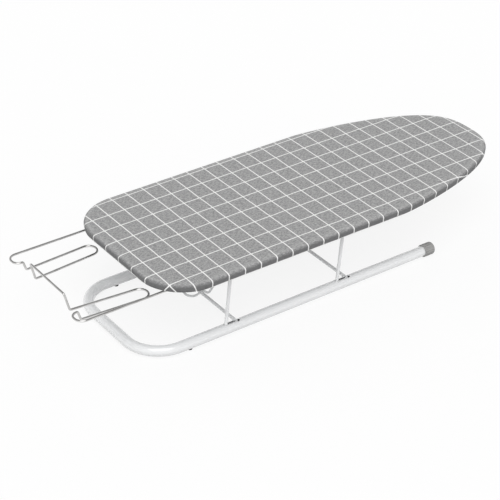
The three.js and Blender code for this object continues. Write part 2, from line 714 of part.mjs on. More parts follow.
/** Both legs and the lock brace, each placed by a hinge axis. */
function linkage() {
  const group = new THREE.Group();
  const rearLeg = piece('rear_leg', legWire(), WHITE_PAINT);
  const frontLeg = piece('front_leg', legWire(), WHITE_PAINT);
  const brace = piece('lock_brace', braceWire(), WHITE_PAINT);
  rearLeg.position.set(rearAxleX, 0, axleHeight);
  frontLeg.position.set(frontAxleX, 0, axleHeight);
  brace.position.set(rearAxleX, 0, axleHeight);
  group.add(rearLeg, frontLeg, brace);
  return group;
}

/** The covered board with its cross channels. */
function board() {
  const group = new THREE.Group();
  const lugSpots = Object.values(SIDES).map((side) => [0, side * lugRivetY]);
  const braceSpots = bracketRivetShifts.map((shift) => [shift, 0]);
  const legSpots = Object.values(SIDES).flatMap((side) =>
    bracketRivetShifts.map((shift) => [shift, side * bracketY]),
  );
  group.add(piece('cover', cover(), GREY_CLOTH));
  group.add(piece('pad', pad(), FELT));
  group.add(piece('deck', deck(), PLATED_STEEL));
  group.add(piece('rim', rim(), PLATED_STEEL));
  group.add(piece('end_channel', channel(guideXs.rear, lugSpots), PLATED_STEEL));
  group.add(piece('guide_channel', channel(guideXs.front, lugSpots), PLATED_STEEL));
  group.add(piece('rear_channel', channel(legPivotXs.rear, legSpots), PLATED_STEEL));
  group.add(piece('brace_channel', channel(bracePivotX, braceSpots), PLATED_STEEL));
  group.add(piece('front_channel', channel(legPivotXs.front, legSpots), PLATED_STEEL));
  return group;
}

/** What is riveted under the channels: leg brackets, rest guides and the brace bracket. */
function fittings() {
  const group = new THREE.Group();
  for (const [sideName, side] of Object.entries(SIDES)) {
    for (const [endName, x] of Object.entries(legPivotXs)) {
      const name = `leg_bracket_${endName}_${sideName}`;
      const y = side * bracketY;
      const body = bracket(x, y, BRACKET_WIDTH, BRACKET_FLANGE, BRACKET_EAR, LEG_PIVOT_DROP, LEG_WIRE);
      group.add(piece(name, body, PLATED_STEEL), ...bracketRivets(name, x, y));
    }
    for (const [endName, x] of Object.entries(guideXs)) {
      const name = `rest_guide_${endName}_${sideName}`;
      group.add(piece(name, restGuide(x, side), NYLON));
      group.add(piece(`${name}_rivet`, rivet(x, side * lugRivetY, LUG_HEIGHT), PLATED_STEEL));
    }
  }
  const braceBody = bracket(bracePivotX, 0, BRACE_BRACKET_WIDTH, 0, BRACE_EAR, BRACE_PIVOT_DROP, BRACE_WIRE);
  group.add(piece('brace_bracket', braceBody, PLATED_STEEL));
  group.add(...bracketRivets('brace_bracket', bracePivotX, 0));
  return group;
}

const ironingBoard = new THREE.Group();
ironingBoard.add(base(), linkage(), board(), fittings(), piece('iron_rest', restWire(), CHROME));
ironingBoard.position.x = -partMiddle;

export default ironingBoard;
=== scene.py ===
"""Tabletop ironing board: a padded board on two folding wire legs in a U of steel tube.

Sizes are in millimetres until a piece is finished, which scales its mesh to metres. +X runs to
the nose, +Y to the far side and +Z up, and the floor is at z = 0. The sizes of a finish are in
metres.
"""

from __future__ import annotations

import logging
import math
import random
from abc import ABC, abstractmethod
from dataclasses import dataclass
from enum import Enum
from functools import lru_cache
from typing import Any, Iterable, Mapping, Sequence, Union

import bmesh
import bpy
from bmesh.types import BMEdge, BMesh, BMVert
from mathutils import Matrix, Vector


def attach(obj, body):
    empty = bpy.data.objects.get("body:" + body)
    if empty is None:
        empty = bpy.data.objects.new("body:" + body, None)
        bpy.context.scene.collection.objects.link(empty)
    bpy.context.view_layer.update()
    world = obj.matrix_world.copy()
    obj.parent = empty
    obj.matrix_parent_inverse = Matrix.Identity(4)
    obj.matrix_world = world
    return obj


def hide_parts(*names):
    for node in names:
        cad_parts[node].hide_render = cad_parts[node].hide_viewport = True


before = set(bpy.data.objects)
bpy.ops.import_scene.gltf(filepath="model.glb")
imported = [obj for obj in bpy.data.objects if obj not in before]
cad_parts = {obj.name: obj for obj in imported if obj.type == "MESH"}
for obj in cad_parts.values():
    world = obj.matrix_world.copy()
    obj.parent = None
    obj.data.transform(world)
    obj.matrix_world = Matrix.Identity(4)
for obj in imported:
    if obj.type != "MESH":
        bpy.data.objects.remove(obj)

log = logging.getLogger("ironing_board")

MM = 0.001

# Vertices closer than this, in millimetres, are one
WELD = 0.001

# Places that several sub-assemblies share
TUBE_Y = 118.0
AXLE_Z = 15.5
REAR_AXLE, FRONT_AXLE = -151.7, 83.3
REAR_PIVOT, FRONT_PIVOT, BRACE_PIVOT = -164.8, 70.2, -36.0
REAR_GUIDE, FRONT_GUIDE = -262.0, -200.0

Colour = tuple[float, float, float, float]
Point = tuple[float, float, float]
Pair = tuple[float, float]


class Side(Enum):
    """The two long sides of the board, by the sign of Y."""

    NEAR = -1
    FAR = 1

    @property
    def word(self) -> str:
        """The side's word in the names of pieces."""
        return self.name.lower()


class Body(Enum):
    """The bodies that move against each other."""

    BASE = "base"
    REAR_LEG = "rear_leg"
    FRONT_LEG = "front_leg"
    BOARD = "board"
    IRON_REST = "iron_rest"
    LOCK_BRACE = "lock_brace"


class Coat(Enum):
    """The finishes, by the material slot that each is kept under."""

    WHITE_PAINT = "white_paint"
    CAP_PLASTIC = "cap_plastic"
    FOOT_RUBBER = "foot_rubber"
    CHROME = "chrome"
    COVER_CLOTH = "cover_cloth"
    PAD_FELT = "pad_felt"
    PLATED_STEEL = "plated_steel"
    NYLON = "nylon"


Pieces = dict[Coat, list[bpy.types.Object]]


# Shaders


class Signal:
    """A socket that carries a number, on which Python's operators add Math nodes."""

    def __init__(self, shader: Shader, socket: bpy.types.NodeSocket) -> None:
        """Wraps one output socket of a shader's graph."""
        self.shader = shader
        self.socket = socket

    def __add__(self, other: Operand) -> Signal:
        """Adds a value."""
        return self.shader.math("ADD", self, other)

    def __sub__(self, other: Operand) -> Signal:
        """Takes a value away."""
        return self.shader.math("SUBTRACT", self, other)

    def __rsub__(self, other: Operand) -> Signal:
        """Takes this value away from another."""
        return self.shader.math("SUBTRACT", other, self)

    def __mul__(self, other: Operand) -> Signal:
        """Multiplies by a value."""
        return self.shader.math("MULTIPLY", self, other)

    def __abs__(self) -> Signal:
        """The value without its sign."""
        return self.shader.math("ABSOLUTE", self)

    __radd__ = __add__
    __rmul__ = __mul__


Operand = Union[Signal, float]


@dataclass(frozen=True)
class Grain:
    """One layer of noise in a finish.

    It has the width of its blotches, the number and strength of the finer layers over them, how
    it is stretched, and the band that it climbs from 0 to 1 in. Its tint says how far it draws
    the colour to another, and matt how much it roughens.
    """

    size: float
    layers: float = 2.0
    strength: float = 0.5
    stretch: Point | None = None
    band: Pair | None = None
    tint: float = 0.0
    matt: float = 0.0


class Shader:
    """The node graph of one material or of the world."""

    def __init__(self, owner: bpy.types.Material | bpy.types.World) -> None:
        """Starts an empty graph in its owner.

        Args:
            owner: The material or world.
        """
        owner.use_nodes = True
        self.owner = owner
        self.tree = owner.node_tree
        self.tree.nodes.clear()

    @classmethod
    def new(cls, name: str) -> Shader:
        """Starts an empty graph in a new material."""
        return cls(bpy.data.materials.new(name))

    def node(
        self,
        kind: str,
        settings: Mapping[str, Any] | None = None,
        inputs: Mapping[str | int, Any] | None = None,
    ) -> bpy.types.Node:
        """Adds one node.

        Args:
            kind: The node's type.
            settings: Its settings, by name.
            inputs: Values or links of its sockets, by name or number.

        Returns:
            The node.
        """
        made = self.tree.nodes.new(kind)
        for name, value in (settings or {}).items():
            setattr(made, name, value)
        for name, value in (inputs or {}).items():
            source = value.socket if isinstance(value, Signal) else value
            if isinstance(source, bpy.types.NodeSocket):
                self.tree.links.new(source, made.inputs[name])
            else:
                made.inputs[name].default_value = source
        return made

    def signal(
        self, kind: str, settings: Mapping[str, Any], inputs: Mapping[Any, Any], output: int = 0
    ) -> Signal:
        """Adds one node and returns one of its outputs."""
        return Signal(self, self.node(kind, settings, inputs).outputs[output])

    def math(self, operation: str, *terms: Operand) -> Signal:
        """Adds a Math node over its terms."""
        return self.signal("ShaderNodeMath", {"operation": operation}, dict(enumerate(terms)))

    def place(self) -> Signal:
        """The point in the piece's own frame, in metres."""
        return Signal(self, self.node("ShaderNodeTexCoord").outputs["Object"])

    def flat(self, layer: str) -> Signal:
        """The point on the flat cloth, from the piece's own map, in metres."""
        return self.signal("ShaderNodeUVMap", {"uv_map": layer}, {})

    def ray(self, *kinds: str) -> Signal:
        """Tells how a surface is looked at.

        Args:
            kinds: One or two kinds of ray, such as Camera.

        Returns:
            1 for a ray of one of these kinds, else 0.
        """
        light = self.node("ShaderNodeLightPath").outputs
        found = [Signal(self, light[f"Is {kind} Ray"]) for kind in kinds]
        return found[0] if len(found) == 1 else self.math("MAXIMUM", *found)

    def parts(self, vector: Signal) -> tuple[Signal, Signal, Signal]:
        """Takes a vector apart.

        Args:
            vector: The vector.

        Returns:
            Its three numbers.
        """
        made = self.node("ShaderNodeSeparateXYZ", inputs={0: vector})
        x, y, z = (Signal(self, socket) for socket in made.outputs)
        return x, y, z

    def noise(self, vector: Signal, *grains: Grain) -> list[Signal]:
        """Adds layers of noise.

        Args:
            vector: The point that they are read at.
            grains: The layers' sizes.

        Returns:
            The value of each layer, from 0 to 1.
        """
        made = []
        for grain in grains:
            at = vector
            if grain.stretch:
                times = {"operation": "MULTIPLY"}
                at = self.signal("ShaderNodeVectorMath", times, {0: vector, 1: grain.stretch})
            values = {"Vector": at, "Scale": 1 / grain.size, "Detail": grain.layers}
            values["Roughness"] = grain.strength
            value = self.signal("ShaderNodeTexNoise", {}, values)
            made.append(self.step(value, *grain.band) if grain.band else value)
        return made

    def cells(self, vector: Signal, grain: Grain) -> Signal:
        """Breaks a surface up into cells.

        Args:
            vector: The point.
            grain: The cells' size.

        Returns:
            The grey level of the point's cell, from 0 to 1.
        """
        values = {"Vector": vector, "Scale": 1 / grain.size}
        made = self.node("ShaderNodeTexVoronoi", {"feature": "F1"}, values)
        return self.signal("ShaderNodeSeparateColor", {}, {0: made.outputs["Color"]})

    def step(
        self, value: Signal, low: float, high: float, start: float = 0.0, end: float = 1.0
    ) -> Signal:
        """A smooth step from start to end as the value goes from low to high."""
        values = {0: value, 1: low, 2: high, 3: start, 4: end}
        return self.signal("ShaderNodeMapRange", {"interpolation_type": "SMOOTHSTEP"}, values)

    def blend(self, factor: Operand, first: Any, second: Any) -> Signal:
        """Mixes two colours."""
        settings = {"data_type": "RGBA", "clamp_factor": True}
        return self.signal("ShaderNodeMix", settings, {0: factor, 6: first, 7: second}, 2)

    def bump(self, height: Signal, depth: float, below: Signal | None = None) -> Signal:
        """Turns a height into a normal.

        Args:
            height: The height, from 0 to 1.
            depth: What a height of 1 stands for, in metres.
            below: The normal that it is laid over.

        Returns:
            The normal.
        """
        values: dict[str | int, Any] = {"Strength": 1.0, "Distance": depth, "Height": height}
        if below:
            values["Normal"] = below
        return self.signal("ShaderNodeBump", {}, values)

    def layered(
        self, factor: Signal, first: bpy.types.Node, second: bpy.types.Node
    ) -> bpy.types.Node:
        """Mixes the surfaces of two nodes."""
        inputs = {0: factor, 1: first.outputs[0], 2: second.outputs[0]}
        return self.node("ShaderNodeMixShader", inputs=inputs)

    def surface(self, **inputs: Any) -> None:
        """Closes the graph with a surface shader.

        Args:
            inputs: Its sockets' values, with _ for a space in a name.
        """
        named = {name.replace("_", " "): value for name, value in inputs.items()}
        made = self.node("ShaderNodeBsdfPrincipled", inputs=named)
        self.node("ShaderNodeOutputMaterial", inputs={"Surface": made.outputs[0]})


# Finishes


class Finish(ABC):
    """A finish that can be put on a piece."""

    @abstractmethod
    def draw(self, shader: Shader) -> None:
        """Draws the finish into a material's empty graph."""

    def material(self, name: str) -> bpy.types.Material:
        """Makes the finish's material.

        Args:
            name: The material's name.

        Returns:
            The material.
        """
        shader = Shader.new(name)
        self.draw(shader)
        return shader.owner


@dataclass(frozen=True)
class PowderPaint(Finish):
    """White paint baked on steel: a faint orange peel, with a little grime and few scuffs."""

    colour: Colour = (0.82, 0.828, 0.836, 1.0)
    grime: Colour = (0.62, 0.62, 0.60, 1.0)
    cloud: Grain = Grain(0.05, 3, tint=0.10, matt=0.08)
    speck: Grain = Grain(0.0035, 5, 0.7, band=(0.66, 0.8), tint=0.12)
    scuff: Grain = Grain(0.006, 4, 0.65, (0.25, 1.0, 1.0), (0.68, 0.76), tint=0.07, matt=0.08)
    peel: Grain = Grain(0.0016, 1)
    peel_depth: float = 0.000007
    roughness: float = 0.22
    gloss_index: float = 1.6
    gloss_roughness: float = 0.1

    def draw(self, shader: Shader) -> None:
        """Draws the finish.

        Args:
            shader: The material's graph.
        """
        layers = self.cloud, self.speck, self.scuff, self.peel
        cloud, speck, scuff, peel = shader.noise(shader.place(), *layers)
        colour = shader.blend(cloud * self.cloud.tint, self.colour, self.grime)
        marks = speck * self.speck.tint + scuff * self.scuff.tint
        shader.surface(
            Base_Color=shader.blend(marks, colour, self.grime),
            Roughness=self.roughness + self.cloud.matt * cloud + self.scuff.matt * scuff,
            Coat_Weight=1.0,
            Coat_IOR=self.gloss_index,
            Coat_Roughness=self.gloss_roughness,
            Normal=shader.bump(peel, self.peel_depth),
        )


@dataclass(frozen=True)
class Chrome(Finish):
    """Bright plated wire: drawing lines along it, with cloudy patches and small pits."""

    colour: Colour = (0.66, 0.655, 0.65, 1.0)
    tarnish: Colour = (0.36, 0.35, 0.335, 1.0)
    cloud: Grain = Grain(0.014, 4, 0.65, band=(0.36, 0.62), tint=0.4, matt=0.06)
    lines: Grain = Grain(0.0006, 3, stretch=(0.06, 1.0, 1.0))
    pits: Grain = Grain(0.0009, 3, 0.7, band=(0.70, 0.78), tint=0.3, matt=0.12)
    line_depth: float = 0.000012
    roughness: float = 0.06

    def draw(self, shader: Shader) -> None:
        """Draws the finish.

        Args:
            shader: The material's graph.
        """
        cloud, lines, pits = shader.noise(shader.place(), self.cloud, self.lines, self.pits)
        marks = cloud * self.cloud.tint + pits * self.pits.tint
        shader.surface(
            Base_Color=shader.blend(marks, self.colour, self.tarnish),
            Metallic=1.0,
            Roughness=self.roughness + self.cloud.matt * cloud + self.pits.matt * pits,
            Normal=shader.bump(lines, self.line_depth),
        )


@dataclass(frozen=True)
class ZincPlate(Finish):
    """Plated sheet steel: dull spangles, rolling lines and a little white bloom."""

    colour: Colour = (0.56, 0.57, 0.585, 1.0)
    dark: Colour = (0.36, 0.37, 0.385, 1.0)
    white: Colour = (0.70, 0.70, 0.68, 1.0)
    spangle: Grain = Grain(0.006, tint=0.45, matt=0.14)
    rolling: Grain = Grain(0.0012, 3, stretch=(0.05, 1.0, 1.0), tint=0.2)
    bloom: Grain = Grain(0.03, 5, 0.65, band=(0.55, 0.8), tint=0.4, matt=0.2)
    line_depth: float = 0.00002
    metallic: float = 0.85
    roughness: float = 0.34

    def draw(self, shader: Shader) -> None:
        """Draws the finish.

        Args:
            shader: The material's graph.
        """
        place = shader.place()
        spangle = shader.cells(place, self.spangle)
        rolling, bloom = shader.noise(place, self.rolling, self.bloom)
        marks = spangle * self.spangle.tint + rolling * self.rolling.tint
        colour = shader.blend(marks, self.colour, self.dark)
        shader.surface(
            Base_Color=shader.blend(bloom * self.bloom.tint, colour, self.white),
            Metallic=self.metallic,
            Roughness=self.roughness + self.spangle.matt * spangle + self.bloom.matt * bloom,
            Normal=shader.bump(rolling, self.line_depth),
        )


@dataclass(frozen=True)
class MouldedPlastic(Finish):
    """Moulded plastic: a fine spark-eroded grain, faint flow marks and rubbed spots."""

    colour: Colour
    shade: Colour
    roughness: float = 0.5
    grain_depth: float = 0.00005
    flow: Grain = Grain(0.01, 3, 0.6, (1.0, 0.3, 0.6), tint=0.45, matt=0.14)
    grain: Grain = Grain(0.0005, 3, 0.6, tint=0.25)
    rub: Grain = Grain(0.004, 4, 0.7, band=(0.6, 0.75), matt=-0.12)
    glow: float = 0.05
    glow_reach: float = 0.001

    def draw(self, shader: Shader) -> None:
        """Draws the finish.

        Args:
            shader: The material's graph.
        """
        flow, grain, rub = shader.noise(shader.place(), self.flow, self.grain, self.rub)
        marks = flow * self.flow.tint + grain * self.grain.tint
        shader.surface(
            Base_Color=shader.blend(marks, self.colour, self.shade),
            Roughness=self.roughness + self.flow.matt * flow + self.rub.matt * rub,
            Subsurface_Weight=self.glow,
            Subsurface_Radius=(self.glow_reach,) * 3,
            Normal=shader.bump(grain, self.grain_depth),
        )


@dataclass(frozen=True)
class Rubber(Finish):
    """Black rubber with a dusty bloom."""

    colour: Colour = (0.022, 0.022, 0.023, 1.0)
    dusty: Colour = (0.12, 0.118, 0.112, 1.0)
    dust: Grain = Grain(0.002, 5, 0.7, band=(0.5, 0.75), tint=0.5, matt=0.2)
    grain: Grain = Grain(0.0004, 3)
    grain_depth: float = 0.00006
    roughness: float = 0.7

    def draw(self, shader: Shader) -> None:
        """Draws the finish.

        Args:
            shader: The material's graph.
        """
        dust, grain = shader.noise(shader.place(), self.dust, self.grain)
        shader.surface(
            Base_Color=shader.blend(dust * self.dust.tint, self.colour, self.dusty),
            Roughness=self.roughness + self.dust.matt * dust,
            Normal=shader.bump(grain, self.grain_depth),
        )


@dataclass(frozen=True)
class Felt(Finish):
    """Needled felt: matted fibres with darker flecks."""

    colour: Colour = (0.66, 0.64, 0.59, 1.0)
    dark: Colour = (0.34, 0.33, 0.32, 1.0)
    along: Grain = Grain(0.0009, 4, 0.65, (0.15, 1.0, 1.0), tint=0.25)
    across: Grain = Grain(0.0009, 4, 0.65, (1.0, 0.15, 1.0))
    fleck: Grain = Grain(0.003, 4, 0.75, band=(0.6, 0.72), tint=0.6)
    fibre_depth: float = 0.0004
    roughness: float = 0.95
    sheen: float = 0.2

    def draw(self, shader: Shader) -> None:
        """Draws the finish.

        Args:
            shader: The material's graph.
        """
        along, across, fleck = shader.noise(shader.place(), self.along, self.across, self.fleck)
        marks = fleck * self.fleck.tint + along * self.along.tint
        shader.surface(
            Base_Color=shader.blend(marks, self.colour, self.dark),
            Roughness=self.roughness,
            Sheen_Weight=self.sheen,
            Normal=shader.bump((along + across) * 0.5, self.fibre_depth),
        )


@dataclass(frozen=True)
class CheckedCloth(Finish):
    """Grey plain-woven cotton with thin white checks, drawn on the flat cloth in metres.

    The map "cloth" is the point on the flat cloth, and the map "edge" holds the way round the
    board and the distance past its edge, for the wear and painted highlight along the shoulder,
    the painted shade on the side band below it, and the stitches of the hem.
    """

    colour: Colour = (0.505, 0.504, 0.504, 1.0)
    shade: Colour = (0.225, 0.2255, 0.2265, 1.0)
    white: Colour = (0.925, 0.925, 0.915, 1.0)
    # Painted shade: the dark tone laid on the side band below the shoulder, in place of its shade
    painted_shade_tone: Colour = (0.136, 0.137, 0.139, 1.0)
    first_cross_line: float = 0.3455
    cross_pitch: float = 0.032
    first_long_line: float = 0.0686
    long_pitch: float = 0.04026
    line_width: float = 0.0021
    line_blur: float = 0.00025
    line_drift: float = 0.0022
    line_ragged: float = 0.0007
    line_cover: float = 0.88
    line_slub: float = 0.10
    line_crossing: float = 0.1
    thread: float = 0.00055
    long_slub: Grain = Grain(0.0019, 4, 0.75, (0.3, 1.0, 1.0))
    cross_slub: Grain = Grain(0.0018, 3, 0.6, (1.0, 0.4, 1.0))
    long_share: float = 0.7
    slub_band: Pair = (0.44, 0.56)
    slub_tint: float = 0.8
    slub_matt: float = 0.12
    cloud: Grain = Grain(0.045, 3, 0.55, tint=0.2)
    blotch: Grain = Grain(0.0045, 3, 0.6, band=(0.38, 0.62), tint=0.22)
    swell: Grain = Grain(0.035, 1)
    swell_depth: float = 0.0009
    weave_depth: float = 0.0002
    roughness: float = 0.82
    sheen: float = 0.08
    # How unevenly the wear, the painted highlight and the painted shade begin
    wear_and_painted_light_drift: float = 0.0012
    # The band along the shoulder that wear and a painted highlight brighten
    wear_and_highlight_from: Pair = (-0.014, -0.006)
    wear_and_highlight_to: Pair = (-0.0045, -0.0015)
    wear_and_highlight_share: float = 0.07
    # The band below the shoulder that painted shade darkens
    painted_shade_band: Pair = (-0.005, 0.0028)
    painted_shade_share: float = 0.9
    stitch_row: float = 0.0223
    stitch_pitch: float = 0.0034
    stitch_gap: Pair = (0.0004, 0.0006)
    stitch_width: Pair = (0.0003, 0.0005)
    stitch_rise: float = 1.5

    def _line(self, shader: Shader, value: Signal, pitch: float, ragged: Signal) -> Signal:
        """One set of parallel white lines.

        Args:
            shader: The graph.
            value: The distance across the lines, with a line at 0.
            pitch: The distance between two lines.
            ragged: How far the threads pull the line's edge to one side.

        Returns:
            1 on a line and 0 between two.
        """
        distance = shader.math("PINGPONG", value, pitch / 2) + ragged
        half = self.line_width / 2
        return shader.step(distance, half - self.line_blur, half + self.line_blur, 1.0, 0.0)

    def _edge_wear(self, shader: Shader, blotch: Signal) -> tuple[Signal, Signal]:
        """Marks the cloth by its distance past the board's edge, with wear and painted light.

        Args:
            shader: The graph.
            blotch: The uneven border of the wear, the painted highlight and the painted shade.

        Returns:
            Where wear and a painted highlight brighten the shoulder, and painted shade below it.
        """
        reach = shader.parts(shader.flat("edge"))[1] + (blotch - 0.5) * self.wear_and_painted_light_drift
        wear_and_highlight = shader.step(reach, *self.wear_and_highlight_from) * shader.step(reach, *self.wear_and_highlight_to, 1.0, 0.0)
        return wear_and_highlight, shader.step(reach, *self.painted_shade_band)

    def _stitches(self, shader: Shader) -> Signal:
        """The row of stitches that holds the hem's elastic.

        Args:
            shader: The graph.

        Returns:
            1 on a stitch, else 0.
        """
        way, reach, _ = shader.parts(shader.flat("edge"))
        dash = shader.step(shader.math("PINGPONG", way, self.stitch_pitch / 2), *self.stitch_gap)
        row = shader.step(abs(reach - self.stitch_row), *self.stitch_width, 1.0, 0.0)
        return dash * row

    def draw(self, shader: Shader) -> None:
        """Draws the finish.

        Args:
            shader: The material's graph.
        """
        flat = shader.flat("cloth")
        x, y, _ = shader.parts(flat)
        warp, weft = (shader.math("SINE", way * (math.pi / self.thread)) for way in (x, y))
        weave = warp * weft * 0.5 + 0.5
        layers = self.long_slub, self.cross_slub, self.cloud, self.blotch, self.swell
        along, across, cloud, blotch, swell = shader.noise(flat, *layers)
        slub = along * self.long_share + across * (1.0 - self.long_share)
        slub = shader.step(slub, *self.slub_band)
        drift = (cloud - 0.5) * self.line_drift
        ragged = (along - 0.5) * self.line_ragged
        cross = self._line(shader, x - self.first_cross_line + drift, self.cross_pitch, ragged)
        long = self._line(shader, y - self.first_long_line + drift, self.long_pitch, ragged)
        lines = shader.math("MAXIMUM", cross, long) * (self.line_cover + self.line_slub * slub)
        lines = lines + cross * long * self.line_crossing
        stitches = self._stitches(shader)
        # Wear with a painted highlight along the shoulder, and painted shade on the side band below
        # it
        wear_and_highlight, painted_shade_mask = self._edge_wear(shader, blotch)
        woven = slub * self.slub_tint + weave * (1.0 - self.slub_tint)
        colour = shader.blend(woven, self.colour, self.shade)
        for share, other in (
            (cloud * self.cloud.tint, self.shade),
            (blotch * self.blotch.tint, self.shade),
            # Wear and a painted highlight along the shoulder
            (wear_and_highlight * self.wear_and_highlight_share, self.white),
            # Painted shade on the side band below the shoulder
            (painted_shade_mask * self.painted_shade_share, self.painted_shade_tone),
            (lines, self.white),
            (stitches, self.white),
        ):
            colour = shader.blend(share, colour, other)
        relief = slub * 0.5 + weave * 0.5 + stitches * self.stitch_rise
        shader.surface(
            Base_Color=colour,
            Roughness=self.roughness + self.slub_matt * slub,
            Sheen_Weight=self.sheen,
            Normal=shader.bump(relief, self.weave_depth, shader.bump(swell, self.swell_depth)),
        )


class Dresser:
    """Makes each finish once and hands it to the pieces."""

    FINISHES: Mapping[Coat, Finish] = {
        Coat.WHITE_PAINT: PowderPaint(),
        Coat.CAP_PLASTIC: MouldedPlastic(
            (0.375, 0.372, 0.366, 1.0), (0.24, 0.237, 0.232, 1.0), 0.55, 0.00008
        ),
        Coat.FOOT_RUBBER: Rubber(),
        Coat.CHROME: Chrome(),
        Coat.COVER_CLOTH: CheckedCloth(),
        Coat.PAD_FELT: Felt(),
        Coat.PLATED_STEEL: ZincPlate(),
        Coat.NYLON: MouldedPlastic((0.74, 0.73, 0.68, 1.0), (0.60, 0.585, 0.53, 1.0), 0.4),
    }

    def __init__(self) -> None:
        """Builds every material."""
        finishes = self.FINISHES.items()
        self.materials = {coat: finish.material(coat.value) for coat, finish in finishes}

    def dress(self, piece: bpy.types.Object, coat: Coat) -> None:
        """Puts a finish on a piece.

        Args:
            piece: The piece.
            coat: Its finish.
        """
        piece.data.materials.clear()
        piece.data.materials.append(self.materials[coat])


# Mesh work


@dataclass(frozen=True)
class Corner:
    """One corner of a bent rod's or sheet's line, with the radius of its bend."""

    at: Point
    bend: float = 0.0


def mirrored(corners: Sequence[Corner]) -> list[Corner]:
    """A line from the near side to the far side, from its near half."""
    far = [Corner((c.at[0], -c.at[1], c.at[2]), c.bend) for c in reversed(corners)]
    return [*corners, *far]


def edges_of(geometry: Iterable[Any]) -> list[BMEdge]:
    """Picks the edges that lie wholly among an operator's new vertices.

    Args:
        geometry: The operator's result.

    Returns:
        The edges.
    """
    found = list(geometry)
    fresh = {v for v in found if isinstance(v, BMVert)}
    return [e for e in found if isinstance(e, BMEdge) and all(v in fresh for v in e.verts)]


def verts_of(edges: Iterable[BMEdge]) -> list[BMVert]:
    """The vertices of some edges, each once."""
    return list({v: None for e in edges for v in e.verts})


